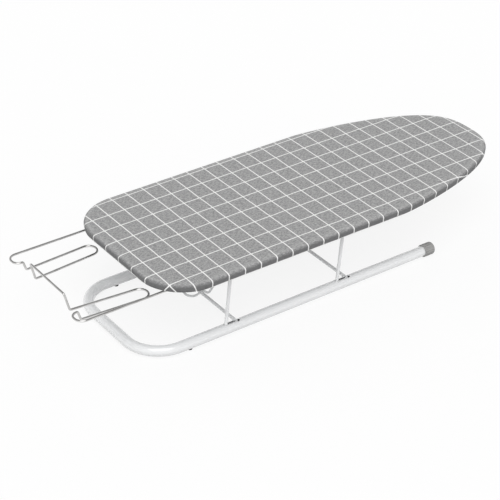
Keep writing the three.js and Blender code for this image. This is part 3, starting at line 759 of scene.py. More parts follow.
class Workpiece:
    """A mesh in millimetres on its way to a finished piece.

    An edge that turns by more than SHARP_TURN degrees is sharp, and one that turns by less than
    FLAT_TURN lies in a flat area.
    """

    SHORTEST_RUN = 0.01
    TIP_STEPS = 3
    SHARP_TURN = 30.0
    FLAT_TURN = 1.0

    def __init__(self) -> None:
        """Starts an empty mesh."""
        self.bm: BMesh = bmesh.new()

    def ring(self, centre: Vector, along: Vector, radius: float, sides: int) -> list[BMEdge]:
        """Draws a circle across a direction.

        Args:
            centre: Its centre.
            along: The direction that it stands across.
            radius: Its radius.
            sides: The number of its edges.

        Returns:
            Its edges.
        """
        turn = along.to_track_quat("Z", "Y").to_matrix().to_4x4()
        made = bmesh.ops.create_circle(
            self.bm, segments=sides, radius=radius, matrix=Matrix.Translation(centre) @ turn
        )
        return list({e: None for v in made["verts"] for e in v.link_edges})

    def run(self, edges: list[BMEdge], move: Vector) -> list[BMEdge]:
        """Extrudes edges along a straight run.

        Args:
            edges: The edges at its start.
            move: The run, of which the very shortest are left out.

        Returns:
            The edges at its end.
        """
        if move.length < self.SHORTEST_RUN:
            return edges
        made = edges_of(bmesh.ops.extrude_edge_only(self.bm, edges=edges)["geom"])
        bmesh.ops.translate(self.bm, verts=verts_of(made), vec=move)
        return made

    def turn(
        self, edges: list[BMEdge], centre: Vector, axis: Vector, angle: float, steps: int
    ) -> list[BMEdge]:
        """Spins edges round an axis.

        Args:
            edges: The edges at the start.
            centre: A point of the axis.
            axis: Its direction.
            angle: The whole turn, in radians.
            steps: The number of steps.

        Returns:
            The edges at the end.
        """
        made = bmesh.ops.spin(
            self.bm,
            geom=[*edges, *verts_of(edges)],
            cent=centre,
            axis=axis,
            angle=angle,
            steps=steps,
            use_merge=False,
            use_duplicate=False,
        )
        return edges_of(made["geom_last"])

    def sweep(
        self, edges: list[BMEdge], corners: Sequence[Corner], bend_step: float
    ) -> list[BMEdge]:
        """Leads edges along straight runs and bends.

        Args:
            edges: The edges at the first corner.
            corners: The line's corners, with their bends.
            bend_step: The largest turn of one step in a bend, in radians.

        Returns:
            The edges at the last corner.
        """
        points = [Vector(corner.at) for corner in corners]
        runs = [after - before for before, after in zip(points, points[1:])]
        reaches = self._reaches(corners, runs)
        place = points[0]
        for i in range(1, len(points) - 1):
            along, out = runs[i - 1].normalized(), runs[i].normalized()
            start = points[i] - along * reaches[i]
            edges = self.run(edges, start - place)
            angle = along.angle(out)
            axis = along.cross(out).normalized()
            centre = start + axis.cross(along) * (reaches[i] / math.tan(angle / 2))
            edges = self.turn(edges, centre, axis, angle, math.ceil(angle / bend_step))
            place = points[i] + out * reaches[i]
        return self.run(edges, points[-1] - place)

    @staticmethod
    def _reaches(corners: Sequence[Corner], runs: Sequence[Vector]) -> list[float]:
        """Works out how far each bend reaches along its runs.

        Args:
            corners: The line's corners.
            runs: The straight runs between them. Where two bends need more than the whole of
                one, they share it.

        Returns:
            The reach at each corner.
        """
        reaches = [0.0] * len(corners)
        for i in range(1, len(corners) - 1):
            reaches[i] = corners[i].bend * math.tan(runs[i - 1].angle(runs[i]) / 2)
        for i, run in enumerate(runs):
            wanted = reaches[i] + reaches[i + 1]
            if wanted > run.length:
                reaches[i] *= run.length / wanted
                reaches[i + 1] *= run.length / wanted
        return reaches

    def tip(self, edges: list[BMEdge], outward: Vector, radius: float, rounding: float) -> None:
        """Closes a wire's end with a rounded rim and a flat face.

        Args:
            edges: The end ring.
            outward: The direction that the end faces.
            radius: The wire's radius.
            rounding: The radius of the rounded rim.
        """
        size, reach = radius, 0.0
        for step in range(1, self.TIP_STEPS + 1):
            angle = math.pi / 2 * step / self.TIP_STEPS
            next_size = radius - rounding * (1 - math.cos(angle))
            next_reach = rounding * math.sin(angle)
            edges = self.run(edges, outward * (next_reach - reach))
            self.scale(verts_of(edges), next_size / size)
            size, reach = next_size, next_reach
        self.close(edges)

    def close(self, *rings: list[BMEdge]) -> None:
        """Fills each ring of edges with a face."""
        for edges in rings:
            bmesh.ops.contextual_create(self.bm, geom=edges)

    def scale(self, verts: list[BMVert], factor: float) -> None:
        """Scales vertices evenly about their middle.

        Args:
            verts: The vertices.
            factor: What their size is multiplied by.
        """
        middle = sum((v.co for v in verts), Vector()) / len(verts)
        space = Matrix.Translation(-middle)
        bmesh.ops.scale(self.bm, vec=(factor,) * 3, space=space, verts=verts)

    def move(self, by: Sequence[float]) -> None:
        """Moves the whole mesh."""
        bmesh.ops.translate(self.bm, vec=by, verts=self.bm.verts)

    def weld(self) -> None:
        """Joins the vertices that lie on one another."""
        bmesh.ops.remove_doubles(self.bm, verts=self.bm.verts, dist=WELD)

    def slice(self, at: Sequence[float], away: Sequence[float], clear: bool = False) -> None:
        """Slices the mesh with a plane.

        Args:
            at: A point of the plane.
            away: The direction that it faces.
            clear: Whether what lies beyond it is taken off.
        """
        whole = [*self.bm.verts, *self.bm.edges, *self.bm.faces]
        bmesh.ops.bisect_plane(
            self.bm, geom=whole, dist=WELD, plane_co=at, plane_no=away, clear_outer=clear
        )

    def lathe(self, profile: Sequence[Pair], sides: int) -> None:
        """Spins a profile about the Z axis.

        Args:
            profile: Its points, as radius and height.
            sides: The steps of the whole turn.
        """
        spots = [self.bm.verts.new((radius, 0.0, height)) for radius, height in profile]
        edges = [self.bm.edges.new(pair) for pair in zip(spots, spots[1:])]
        bmesh.ops.spin(
            self.bm,
            geom=[*spots, *edges],
            cent=(0.0, 0.0, 0.0),
            axis=(0.0, 0.0, 1.0),
            angle=2 * math.pi,
            steps=sides,
            use_merge=True,
        )
        self.weld()

    def thicken(self, thickness: float) -> None:
        """Gives an open sheet its thickness, towards its back."""
        bmesh.ops.recalc_face_normals(self.bm, faces=self.bm.faces)
        bmesh.ops.solidify(self.bm, geom=list(self.bm.faces), thickness=thickness)

    def bevel(self, edges: list[BMEdge], offset: float, segments: int) -> None:
        """Rounds some edges.

        Args:
            edges: The edges.
            offset: How far the rounding reaches from each edge.
            segments: Its steps.
        """
        bmesh.ops.bevel(
            self.bm,
            geom=edges,
            offset=offset,
            offset_type="OFFSET",
            affect="EDGES",
            segments=segments,
            profile=0.5,
            material=-1,
            clamp_overlap=True,
        )

    def from_node(self, node: str) -> None:
        """Takes a merged copy of a frame node's mesh, with flat areas as one face.

        Args:
            node: The node's name.
        """
        self.bm.from_mesh(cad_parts[node].data)
        bmesh.ops.scale(self.bm, vec=(1 / MM,) * 3, verts=self.bm.verts)
        self.weld()
        bmesh.ops.dissolve_limit(
            self.bm,
            angle_limit=math.radians(self.FLAT_TURN),
            verts=self.bm.verts,
            edges=self.bm.edges,
            use_dissolve_boundaries=False,
        )

    def sharp_edges(self) -> list[BMEdge]:
        """Picks the edges of two faces that turn sharply.

        Returns:
            The edges.
        """
        limit = math.radians(self.SHARP_TURN)
        paired = [e for e in self.bm.edges if len(e.link_faces) == 2]
        return [e for e in paired if e.calc_face_angle() > limit]

    def finish(self, name: str, crease: float = 32.0, outward: bool = True) -> bpy.types.Object:
        """Turns the mesh into an object at the origin, in metres, with smooth faces.

        Args:
            name: The piece's name.
            crease: Edges that turn by more than this angle in degrees stay sharp.
            outward: Whether the faces are turned outwards first.

        Returns:
            The object.
        """
        if outward:
            bmesh.ops.recalc_face_normals(self.bm, faces=self.bm.faces)
        bmesh.ops.scale(self.bm, vec=(MM, MM, MM), verts=self.bm.verts)
        limit = math.radians(crease)
        for face in self.bm.faces:
            face.smooth = True
        for edge in self.bm.edges:
            edge.smooth = len(edge.link_faces) == 2 and edge.calc_face_angle(0.0) < limit
        mesh = bpy.data.meshes.new(name)
        self.bm.to_mesh(mesh)
        self.bm.free()
        made = bpy.data.objects.new(name, mesh)
        bpy.context.scene.collection.objects.link(made)
        return made


def placed(piece: bpy.types.Object, body: Body, *nodes: str) -> bpy.types.Object:
    """Lets a piece ride on a body in place of frame nodes.

    Args:
        piece: The piece.
        body: The body that it moves with.
        nodes: The nodes that it stands for.

    Returns:
        The piece.
    """
    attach(piece, body.value)
    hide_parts(*nodes)
    log.info("%s: %d faces, rides on %s", piece.name, len(piece.data.polygons), body.value)
    return piece


def cut(piece: bpy.types.Object, cutters: Sequence[bpy.types.Object]) -> None:
    """Cuts closed shapes out of a piece and removes them.

    Args:
        piece: The piece.
        cutters: The shapes.
    """
    for cutter in cutters:
        step = piece.modifiers.new("cut", "BOOLEAN")
        step.operation, step.solver, step.object = "DIFFERENCE", "EXACT", cutter
    graph = bpy.context.evaluated_depsgraph_get()
    mesh = bpy.data.meshes.new_from_object(piece.evaluated_get(graph))
    piece.modifiers.clear()
    old, piece.data = piece.data, mesh
    bpy.data.meshes.remove(old)
    mesh.name = piece.name
    for cutter in cutters:
        bpy.data.meshes.remove(cutter.data)


@dataclass(frozen=True)
class BentWire:
    """A round wire bent along corner points."""

    corners: tuple[Corner, ...]
    diameter: float
    sides: int = 20
    bend_step: float = math.radians(9)
    tip_rounding: float = 0.5

    def piece(self, body: Body) -> bpy.types.Object:
        """Makes the wire, which stands for the one node of its body.

        Args:
            body: The body.

        Returns:
            The piece.
        """
        work = Workpiece()
        points = [Vector(corner.at) for corner in self.corners]
        start = (points[1] - points[0]).normalized()
        end = (points[-1] - points[-2]).normalized()
        first = work.ring(points[0], start, self.diameter / 2, self.sides)
        last = work.sweep(first, self.corners, self.bend_step)
        work.tip(first, -start, self.diameter / 2, self.tip_rounding)
        work.tip(last, end, self.diameter / 2, self.tip_rounding)
        return placed(work.finish(f"{body.value}_wire"), body, body.value)


@dataclass(frozen=True)
class BoardOutline:
    """The board's outline seen from above: a square end with round corners and a blunt nose."""

    square_end: float = -317.0
    length: float = 773.0
    width: float = 325.0
    corner_radius: float = 86.0
    nose_length: float = 290.0
    nose_length_power: float = 1.3
    nose_width_power: float = 2.85
    end_points: int = 60
    curve_points: int = 400
    stations: int = 480
    station_reach: float = 3.5
    turn_reach: int = 3

    def _half(self) -> list[Vector]:
        """Draws the far half, from the middle of the square end to the tip.

        Returns:
            Its points, closely spaced.
        """
        half, radius, fine = self.width / 2, self.corner_radius, self.curve_points
        straight, ends = half - radius, self.end_points
        points = [Vector((0.0, straight * i / ends)) for i in range(ends)]
        for i in range(fine):
            angle = math.pi / 2 * i / fine
            inset = radius * (1 - math.sin(angle))
            points.append(Vector((radius * (1 - math.cos(angle)), half - inset)))
        for i in range(fine + 1):
            angle = math.pi / 2 * (i / fine)
            back = 1 - math.sin(angle) ** (2 / self.nose_length_power)
            out = max(0.0, math.cos(angle)) ** (2 / self.nose_width_power)
            points.append(Vector((self.length - self.nose_length * back, half * out)))
        return points

    @lru_cache(maxsize=8)
    def points(self, count: int) -> tuple[Vector, ...]:
        """Spaces points evenly along the outline, anticlockwise from the tip.

        Args:
            count: How many, an even number.

        Returns:
            The points.
        """
        half = self._half()[::-1]
        line = half + [Vector((p.x, -p.y)) for p in half[-2::-1]]
        ways = [0.0]
        for before, after in zip(line, line[1:]):
            ways.append(ways[-1] + (after - before).length)
        made, i = [], 0
        for k in range(count):
            wanted = ways[-1] * k / count
            while ways[i + 1] < wanted:
                i += 1
            share = (wanted - ways[i]) / max(ways[i + 1] - ways[i], 1e-9)
            spot = line[i].lerp(line[i + 1], share)
            made.append(Vector((spot.x + self.square_end, spot.y)))
        return tuple(made)

    @lru_cache(maxsize=8)
    def normals(self, count: int) -> tuple[Vector, ...]:
        """Finds the outward direction at each of the points.

        Args:
            count: The number of points.

        Returns:
            The directions.
        """
        points = self.points(count)
        made = []
        for i in range(count):
            along = points[(i + 1) % count] - points[i - 1]
            made.append(Vector((along.y, -along.x)).normalized())
        return tuple(made)

    @lru_cache(maxsize=8)
    def turns(self, count: int) -> tuple[float, ...]:
        """Finds how sharply the outline turns at each of the points.

        Args:
            count: The number of points.

        Returns:
            The turns, in radians per millimetre.
        """
        points, normals = self.points(count), self.normals(count)
        made = []
        for i in range(count):
            before, after = i - self.turn_reach, (i + self.turn_reach) % count
            reach = (points[after] - points[before]).length
            made.append(normals[before].angle(normals[after], 0.0) / reach)
        return tuple(made)

    def spot(self, count: int, station: int, inset: float) -> Vector:
        """A point of the outline, drawn in by an inset."""
        return self.points(count)[station] - self.normals(count)[station] * inset

    def half_width(self, x: float, inset: float) -> float:
        """Measures half the width at a place along the board.

        Args:
            x: The place.
            inset: How far the outline is drawn in.

        Returns:
            The least half width near that place.
        """
        ring = [self.spot(self.stations, i, inset) for i in range(self.stations)]
        return min(abs(p.y) for p in ring if abs(p.x - x) < self.station_reach)


@dataclass(frozen=True)
class EdgeSweep:
    """Leads a loop of points round the board's outline through a run of insets and heights."""

    outline: BoardOutline
    count: int

    def _spot(self, station: int, inset: float, height: float) -> Vector:
        """One point of a loop."""
        return self.outline.spot(self.count, station, inset).to_3d() + Vector((0.0, 0.0, height))

    def start(self, work: Workpiece, inset: float, height: float) -> list[BMEdge]:
        """Draws the first loop and numbers its vertices.

        Args:
            work: The workpiece.
            inset: How far the loop is drawn in from the outline.
            height: Its height.

        Returns:
            Its edges.
        """
        station = work.bm.verts.layers.int.new("station")
        made = bmesh.ops.create_circle(work.bm, segments=self.count, radius=1.0)["verts"]
        round_way = sorted(made, key=lambda v: math.atan2(v.co.y, v.co.x) % (2 * math.pi))
        for i, vert in enumerate(round_way):
            vert[station] = i
            vert.co = self._spot(i, inset, height)
        return list({e: None for v in made for e in v.link_edges})

    def extend(
        self, work: Workpiece, edges: list[BMEdge], inset: float, height: float
    ) -> list[BMEdge]:
        """Extrudes a loop to the next inset and height.

        Args:
            work: The workpiece.
            edges: The loop.
            inset: How far the new loop is drawn in.
            height: Its height.

        Returns:
            The new loop's edges.
        """
        station = work.bm.verts.layers.int["station"]
        made = edges_of(bmesh.ops.extrude_edge_only(work.bm, edges=edges)["geom"])
        for vert in verts_of(made):
            vert.co = self._spot(vert[station], inset, height)
        return made

    def through(
        self, work: Workpiece, profile: Sequence[Pair]
    ) -> tuple[list[BMEdge], list[BMEdge]]:
        """Sweeps a whole profile.

        Args:
            work: The workpiece.
            profile: The insets and heights.

        Returns:
            The first and the last loop.
        """
        first = last = self.start(work, *profile[0])
        for inset, height in profile[1:]:
            last = self.extend(work, last, inset, height)
        return first, last


def arc(centre: Pair, radii: Pair, start: float, end: float, steps: int) -> list[Pair]:
    """Draws an ellipse's arc, with angles in degrees from straight outwards.

    Args:
        centre: The centre's inset and height.
        radii: The half widths across and up.
        start: The first angle. 90 is up.
        end: The last angle.
        steps: The number of steps.

    Returns:
        The insets and heights of its points, from start to end.
    """
    angles = [math.radians(start + (end - start) * i / steps) for i in range(steps + 1)]
    (inset, height), (across, up) = centre, radii
    return [(inset - across * math.cos(a), height + up * math.sin(a)) for a in angles]


# Base


@dataclass(frozen=True)
class Base:
    """The U of steel tube with its two end caps and two feet."""

    diameter: float = 19.0
    wall: float = 1.2
    height: float = 11.5
    closed_end: float = -331.9
    open_end: float = 272.0
    bend: float = 64.0
    bend_step: float = math.radians(4.5)
    sides: int = 40
    axles: Pair = (REAR_AXLE, FRONT_AXLE)
    axle_hole: float = 6.8
    hole_sides: int = 32
    hole_reach: float = 15.0
    slot_width: float = 8.0
    slot_back: float = 28.3
    slot_front: float = 3.4
    slot_end_flat: float = 0.15
    slot_segments: int = 8
    cutter_height: float = 20.0
    cut_margin: float = 1.5
    paint_radius: float = 0.35
    paint_segments: int = 2
    paint_angle: float = 38.0
    shine_weight: int = 90
    cap_wall: float = 2.0
    cap_gap: float = 0.15
    cap_length: float = 22.5
    cap_start: float = 253.0
    cap_lip: float = 0.6
    cap_fade: float = 0.8
    cap_shoulder: float = 1.0
    cap_dome: float = 4.0
    dome_steps: int = 6
    cap_end_wall: float = 3.2
    cap_crease: float = 50.0
    ribs: int = 16
    rib_sides: int = 8
    rib_depth: float = 0.9
    groove: Pair = (0.3, 0.85)
    foot_x: float = -249.0
    foot_diameter: float = 8.6
    foot_height: float = 3.0
    foot_gap: float = 0.3
    foot_sides: int = 40
    # The foot's section, as a share of its radius, what is taken off that, and the height
    foot_section: tuple[Point, ...] = (
        (0.0, 0.0, 0.35),
        (0.35, 0.0, 0.35),
        (0.4, 0.0, 0.0),
        (0.6, 0.0, 0.0),
        (0.65, 0.0, 0.35),
        (0.75, 0.0, 0.35),
        (0.8, 0.0, 0.0),
        (1.0, 0.5, 0.0),
        (1.0, 0.15, 0.15),
        (1.0, 0.0, 0.5),
        (1.0, 0.0, 2.2),
        (1.0, 0.0, 3.0),
        (0.7, 0.0, 3.0),
        (0.35, 0.0, 3.0),
        (0.0, 0.0, 3.0),
    )

    def _middle(self, x: float, side: Side) -> Vector:
        """A point on the middle line of one of the tube's long sides."""
        return Vector((x, side.value * TUBE_Y, self.height))

    def _skin(self, work: Workpiece, diameter: float) -> tuple[list[BMEdge], list[BMEdge]]:
        """Sweeps one skin of the tube.

        Args:
            work: The workpiece.
            diameter: The skin's diameter.

        Returns:
            Its two end rings.
        """
        near = [
            Corner((self.open_end, -TUBE_Y, self.height)),
            Corner((self.closed_end, -TUBE_Y, self.height), self.bend),
        ]
        start, back = Vector(near[0].at), Vector((-1.0, 0.0, 0.0))
        first = work.ring(start, back, diameter / 2, self.sides)
        return first, work.sweep(first, mirrored(near), self.bend_step)

    def _end_face(self, work: Workpiece, ring: list[BMEdge], side: Side) -> None:
        """Draws one end face of the tube, from the outer skin's ring in to the inner skin's.

        Args:
            work: The workpiece.
            ring: The outer skin's ring.
            side: The tube's side.
        """
        rim = edges_of(bmesh.ops.extrude_edge_only(work.bm, edges=ring)["geom"])
        space = Matrix.Translation(-self._middle(self.open_end, side))
        share = 1.0 - 2 * self.wall / self.diameter
        bmesh.ops.scale(work.bm, vec=(1.0, share, share), space=space, verts=verts_of(rim))

    def _slot(self, axle: float, side: Side) -> bpy.types.Object:
        """Makes the cutter of one slot: a block with round ends in the tube's crown.

        Args:
            axle: The place of the leg's axle.
            side: The tube's side.

        Returns:
            The cutter.
        """
        work = Workpiece()
        start, end = axle - self.slot_back, axle + self.slot_front
        bmesh.ops.create_cube(work.bm, size=1.0)
        upright = [e for e in work.bm.edges if abs(e.verts[0].co.z - e.verts[1].co.z) > 0.5]
        size = (end - start, self.slot_width, self.cutter_height)
        bmesh.ops.scale(work.bm, vec=size, verts=work.bm.verts)
        work.bevel(upright, self.slot_width / 2 - self.slot_end_flat, self.slot_segments)
        bottom = self._middle((start + end) / 2, side)
        work.move(bottom + Vector((0.0, 0.0, self.cutter_height / 2)))
        return work.finish("slot_cutter")

    def _axle_hole(self, axle: float, side: Side) -> bpy.types.Object:
        """Makes the cutter of one axle's hole in the tube's inner wall.

        Args:
            axle: The place of the axle.
            side: The tube's side.

        Returns:
            The cutter.
        """
        work = Workpiece()
        inward = Vector((0.0, -side.value, 0.0))
        centre = Vector((axle, side.value * TUBE_Y, AXLE_Z))
        first = work.ring(centre, inward, self.axle_hole / 2, self.hole_sides)
        work.close(first, work.run(first, inward * self.hole_reach))
        return work.finish("hole_cutter")

    def _tube(self) -> bpy.types.Object:
        """Makes the bent tube with its slots and holes.

        Returns:
            The piece.
        """
        work = Workpiece()
        self._skin(work, self.diameter - 2 * self.wall)
        for ring, side in zip(self._skin(work, self.diameter), Side):
            self._end_face(work, ring, side)
        work.weld()
        back, front = self.slot_back + self.cut_margin, self.slot_front + self.cut_margin
        for axle in self.axles:
            for x in (axle - back, axle - self.slot_back / 2, axle + front):
                work.slice((x, 0, 0), (1, 0, 0))
        tube = work.finish("painted_tube")
        places = [(axle, side) for axle in self.axles for side in Side]
        cut(tube, [make(*at) for at in places for make in (self._slot, self._axle_hole)])
        self._soften(tube)
        return placed(tube, Body.BASE, "base_tube")

    def _soften(self, tube: bpy.types.Object) -> None:
        """Rounds the cut edges a little, as the paint does.

        Args:
            tube: The tube.
        """
        edge = tube.modifiers.new("paint_edge", "BEVEL")
        edge.width, edge.segments = self.paint_radius * MM, self.paint_segments
        edge.limit_method, edge.angle_limit = "ANGLE", math.radians(self.paint_angle)
        tube.modifiers.new("even_shine", "WEIGHTED_NORMAL").weight = self.shine_weight
        for face in tube.data.polygons:
            face.use_smooth = True

    def _cap(self, side: Side) -> bpy.types.Object:
        """Makes one ribbed cap over an open end of the tube.

        Args:
            side: The tube's side.

        Returns:
            The piece.
        """
        work = Workpiece()
        centre, sides = self._middle(self.cap_start, side), self.ribs * self.rib_sides
        along, radius = Vector((1.0, 0.0, 0.0)), self.diameter / 2 + self.cap_wall
        first = work.ring(centre, along, radius, sides)
        bore = work.ring(centre, along, self.diameter / 2 + self.cap_gap, sides)
        outer = work.run(work.run(first, along * self.cap_lip), along * self.cap_fade)
        self._groove(outer, centre)
        ends = self.cap_lip + self.cap_fade + self.cap_shoulder
        outer = work.run(outer, along * (self.cap_length - self.cap_dome - ends))
        outer = work.run(outer, along * self.cap_shoulder)
        self._even(outer, centre, radius)
        for step in range(1, self.dome_steps + 1):
            before, after = (math.pi / 2 * k / self.dome_steps for k in (step - 1, step))
            rise = math.sin(after) - math.sin(before)
            outer = work.run(outer, along * self.cap_dome * rise)
            self._even(outer, centre, radius - self.cap_dome * (1 - math.cos(after)))
        work.close(outer)
        work.close(work.run(bore, along * (self.cap_length - self.cap_end_wall)))
        bmesh.ops.bridge_loops(work.bm, edges=[*first, *bore])
        cap = work.finish(f"ribbed_cap_{side.word}", self.cap_crease)
        return placed(cap, Body.BASE, f"end_cap_{side.word}")

    @staticmethod
    def _arm(vert: BMVert, centre: Vector) -> Vector:
        """The way out from the cap's middle line to a vertex."""
        return Vector((0.0, vert.co.y - centre.y, vert.co.z - centre.z))

    def _groove(self, edges: list[BMEdge], centre: Vector) -> None:
        """Draws every second group of a ring's vertices in, to the floor of the grooves.

        Args:
            edges: The ring.
            centre: A point of the cap's middle line.
        """
        low, high = self.groove
        for vert in verts_of(edges):
            arm = self._arm(vert, centre)
            turn = math.atan2(arm.z, arm.y) / (2 * math.pi) * self.ribs
            if low < turn % 1.0 < high:
                vert.co -= arm.normalized() * self.rib_depth

    def _even(self, edges: list[BMEdge], centre: Vector, radius: float) -> None:
        """Brings a ring's vertices to one radius.

        Args:
            edges: The ring.
            centre: A point of the cap's middle line.
            radius: The radius.
        """
        for vert in verts_of(edges):
            arm = self._arm(vert, centre)
            vert.co += arm.normalized() * (radius - arm.length)

    def _foot(self, side: Side) -> bpy.types.Object:
        """Makes one rubber foot: a ringed pad that hugs the tube from below.

        Args:
            side: The tube's side.

        Returns:
            The piece.
        """
        work = Workpiece()
        radius, hug = self.foot_diameter / 2, self.diameter / 2 + self.foot_gap
        section = [(radius * share - less, z) for share, less, z in self.foot_section]
        work.lathe(section, self.foot_sides)
        for vert in work.bm.verts:
            if vert.co.z > self.foot_height - WELD:
                vert.co.z = self.height - math.sqrt(hug * hug - vert.co.y * vert.co.y)
        work.move((self.foot_x, side.value * TUBE_Y, 0.0))
        foot = work.finish(f"rubber_foot_{side.word}")
        return placed(foot, Body.BASE, f"foot_{side.word}")

    def build(self) -> Pieces:
        """Builds the base.

        Returns:
            Its pieces, by their finish.
        """
        return {
            Coat.WHITE_PAINT: [self._tube()],
            Coat.CAP_PLASTIC: [self._cap(side) for side in Side],
            Coat.FOOT_RUBBER: [self._foot(side) for side in Side],
        }


# Linkage


@dataclass(frozen=True)
class Linkage:
    """The two legs and the lock brace, each one bent wire, with its places from its axle."""

    leg_wire: float = 6.0
    leg_bend: float = 5.0
    leg_sides: int = 24
    tip_length: float = 30.0
    crank: float = 25.0
    pivot_offset: float = -13.1
    leg_rise: float = 109.5
    brace_wire: float = 4.0
    brace_bend: float = 4.0
    brace_half: float = 15.0
    brace_reach: float = 115.7
    brace_rise: float = 115.5
    brace_tip: float = 10.0
    # The hook over the rear cross wire and the finger loop, as place, height and bend
    hook: tuple[Point, ...] = (
        (10.0, -0.5, 4.0),
        (0.0, 7.5, 4.0),
        (-9.0, 7.0, 4.0),
        (-15.0, 4.5, 4.0),
        (-29.0, 4.5, 15.0),
    )

    @staticmethod
    def _from_axle(near: Sequence[Corner], axle: float) -> tuple[Corner, ...]:
        """Mirrors a wire's near half and moves it to its axle.

        Args:
            near: The near half's corners.
            axle: The axle's place.

        Returns:
            The whole wire's corners.
        """
        whole = [((c.at[0] + axle, c.at[1], c.at[2] + AXLE_Z), c.bend) for c in mirrored(near)]
        return tuple(Corner(at, bend) for at, bend in whole)

    def _leg(self, body: Body, axle: float) -> bpy.types.Object:
        """Makes one leg: tips, uprights, cranks and the cross wire.

        Args:
            body: The leg's body.
            axle: The axle's place.

        Returns:
            The piece.
        """
        near = [
            Corner((self.pivot_offset, self.tip_length - TUBE_Y, self.leg_rise)),
            Corner((self.pivot_offset, -TUBE_Y, self.leg_rise), self.leg_bend),
            Corner((-self.crank, -TUBE_Y, 0.0), self.leg_bend),
            Corner((0.0, -TUBE_Y, 0.0), self.leg_bend),
        ]
        wire = BentWire(self._from_axle(near, axle), self.leg_wire, self.leg_sides)
        return wire.piece(body)

    def _brace(self) -> bpy.types.Object:
        """Makes the lock brace: a hairpin with a hook over the rear cross wire and a finger loop.

        Returns:
            The piece.
        """
        y = self.brace_half
        near = [
            Corner((self.brace_reach, self.brace_tip - y, self.brace_rise)),
            Corner((self.brace_reach, -y, self.brace_rise), self.brace_bend),
            *(Corner((x, -y, z), bend) for x, z, bend in self.hook),
        ]
        wire = BentWire(self._from_axle(near, REAR_AXLE), self.brace_wire)
        return wire.piece(Body.LOCK_BRACE)

    def build(self) -> Pieces:
        """Builds the linkage.

        Returns:
            Its pieces, by their finish.
        """
        rear = self._leg(Body.REAR_LEG, REAR_AXLE)
        front = self._leg(Body.FRONT_LEG, FRONT_AXLE)
        return {Coat.WHITE_PAINT: [rear, front, self._brace()]}


@dataclass(frozen=True)
class IronRest:
    """The sliding iron rest: one chromed wire with end loops, two tray loops and a cross bar."""

    wire: float = 4.0
    sides: int = 18
    bend: float = 4.0
    rod_y: float = 118.5
    rod_z: float = 133.0
    hook_x: float = -188.7
    hook_length: float = 8.0
    end_x: float = -454.0
    loop_width: float = 29.0
    loop_bend: float = 14.5
    loop_back: float = 14.0
    loop_foot: float = 19.0
    tray_x: float = -305.5
    tray_z: float = 116.5
    tray_bend: float = 15.4
    tray_outer: float = 8.5
    tray_inner: float = 51.15
    post_foot: Pair = (18.0, 62.5)
    post_top: Pair = (10.0, 63.5)
    bar_z: float = 149.4

    def build(self) -> Pieces:
        """Builds the iron rest.

        Returns:
            Its one piece, by its finish.
        """
        y, z, inner = -self.rod_y, self.rod_z, self.loop_width - self.rod_y
        (foot_x, foot_y), (top_x, top_y) = self.post_foot, self.post_top
        near = [
            Corner((self.hook_x, y - self.hook_length, z)),
            Corner((self.hook_x, y, z), self.bend),
            Corner((self.end_x, y, z), self.loop_bend),
            Corner((self.end_x, inner, z), self.loop_bend),
            Corner((self.end_x + self.loop_back, inner, z), self.bend),
            Corner((self.end_x + self.loop_foot, inner, self.tray_z), self.bend),
            Corner((self.tray_x, inner - self.tray_outer, self.tray_z), self.tray_bend),
            Corner((self.tray_x, y + self.tray_inner, self.tray_z), self.tray_bend),
            Corner((self.end_x + foot_x, y + foot_y, self.tray_z), self.bend),
            Corner((self.end_x + top_x, y + top_y, self.bar_z), self.bend),
        ]
        wire = BentWire(tuple(mirrored(near)), self.wire, self.sides)
        return {Coat.CHROME: [wire.piece(Body.IRON_REST)]}


# Board


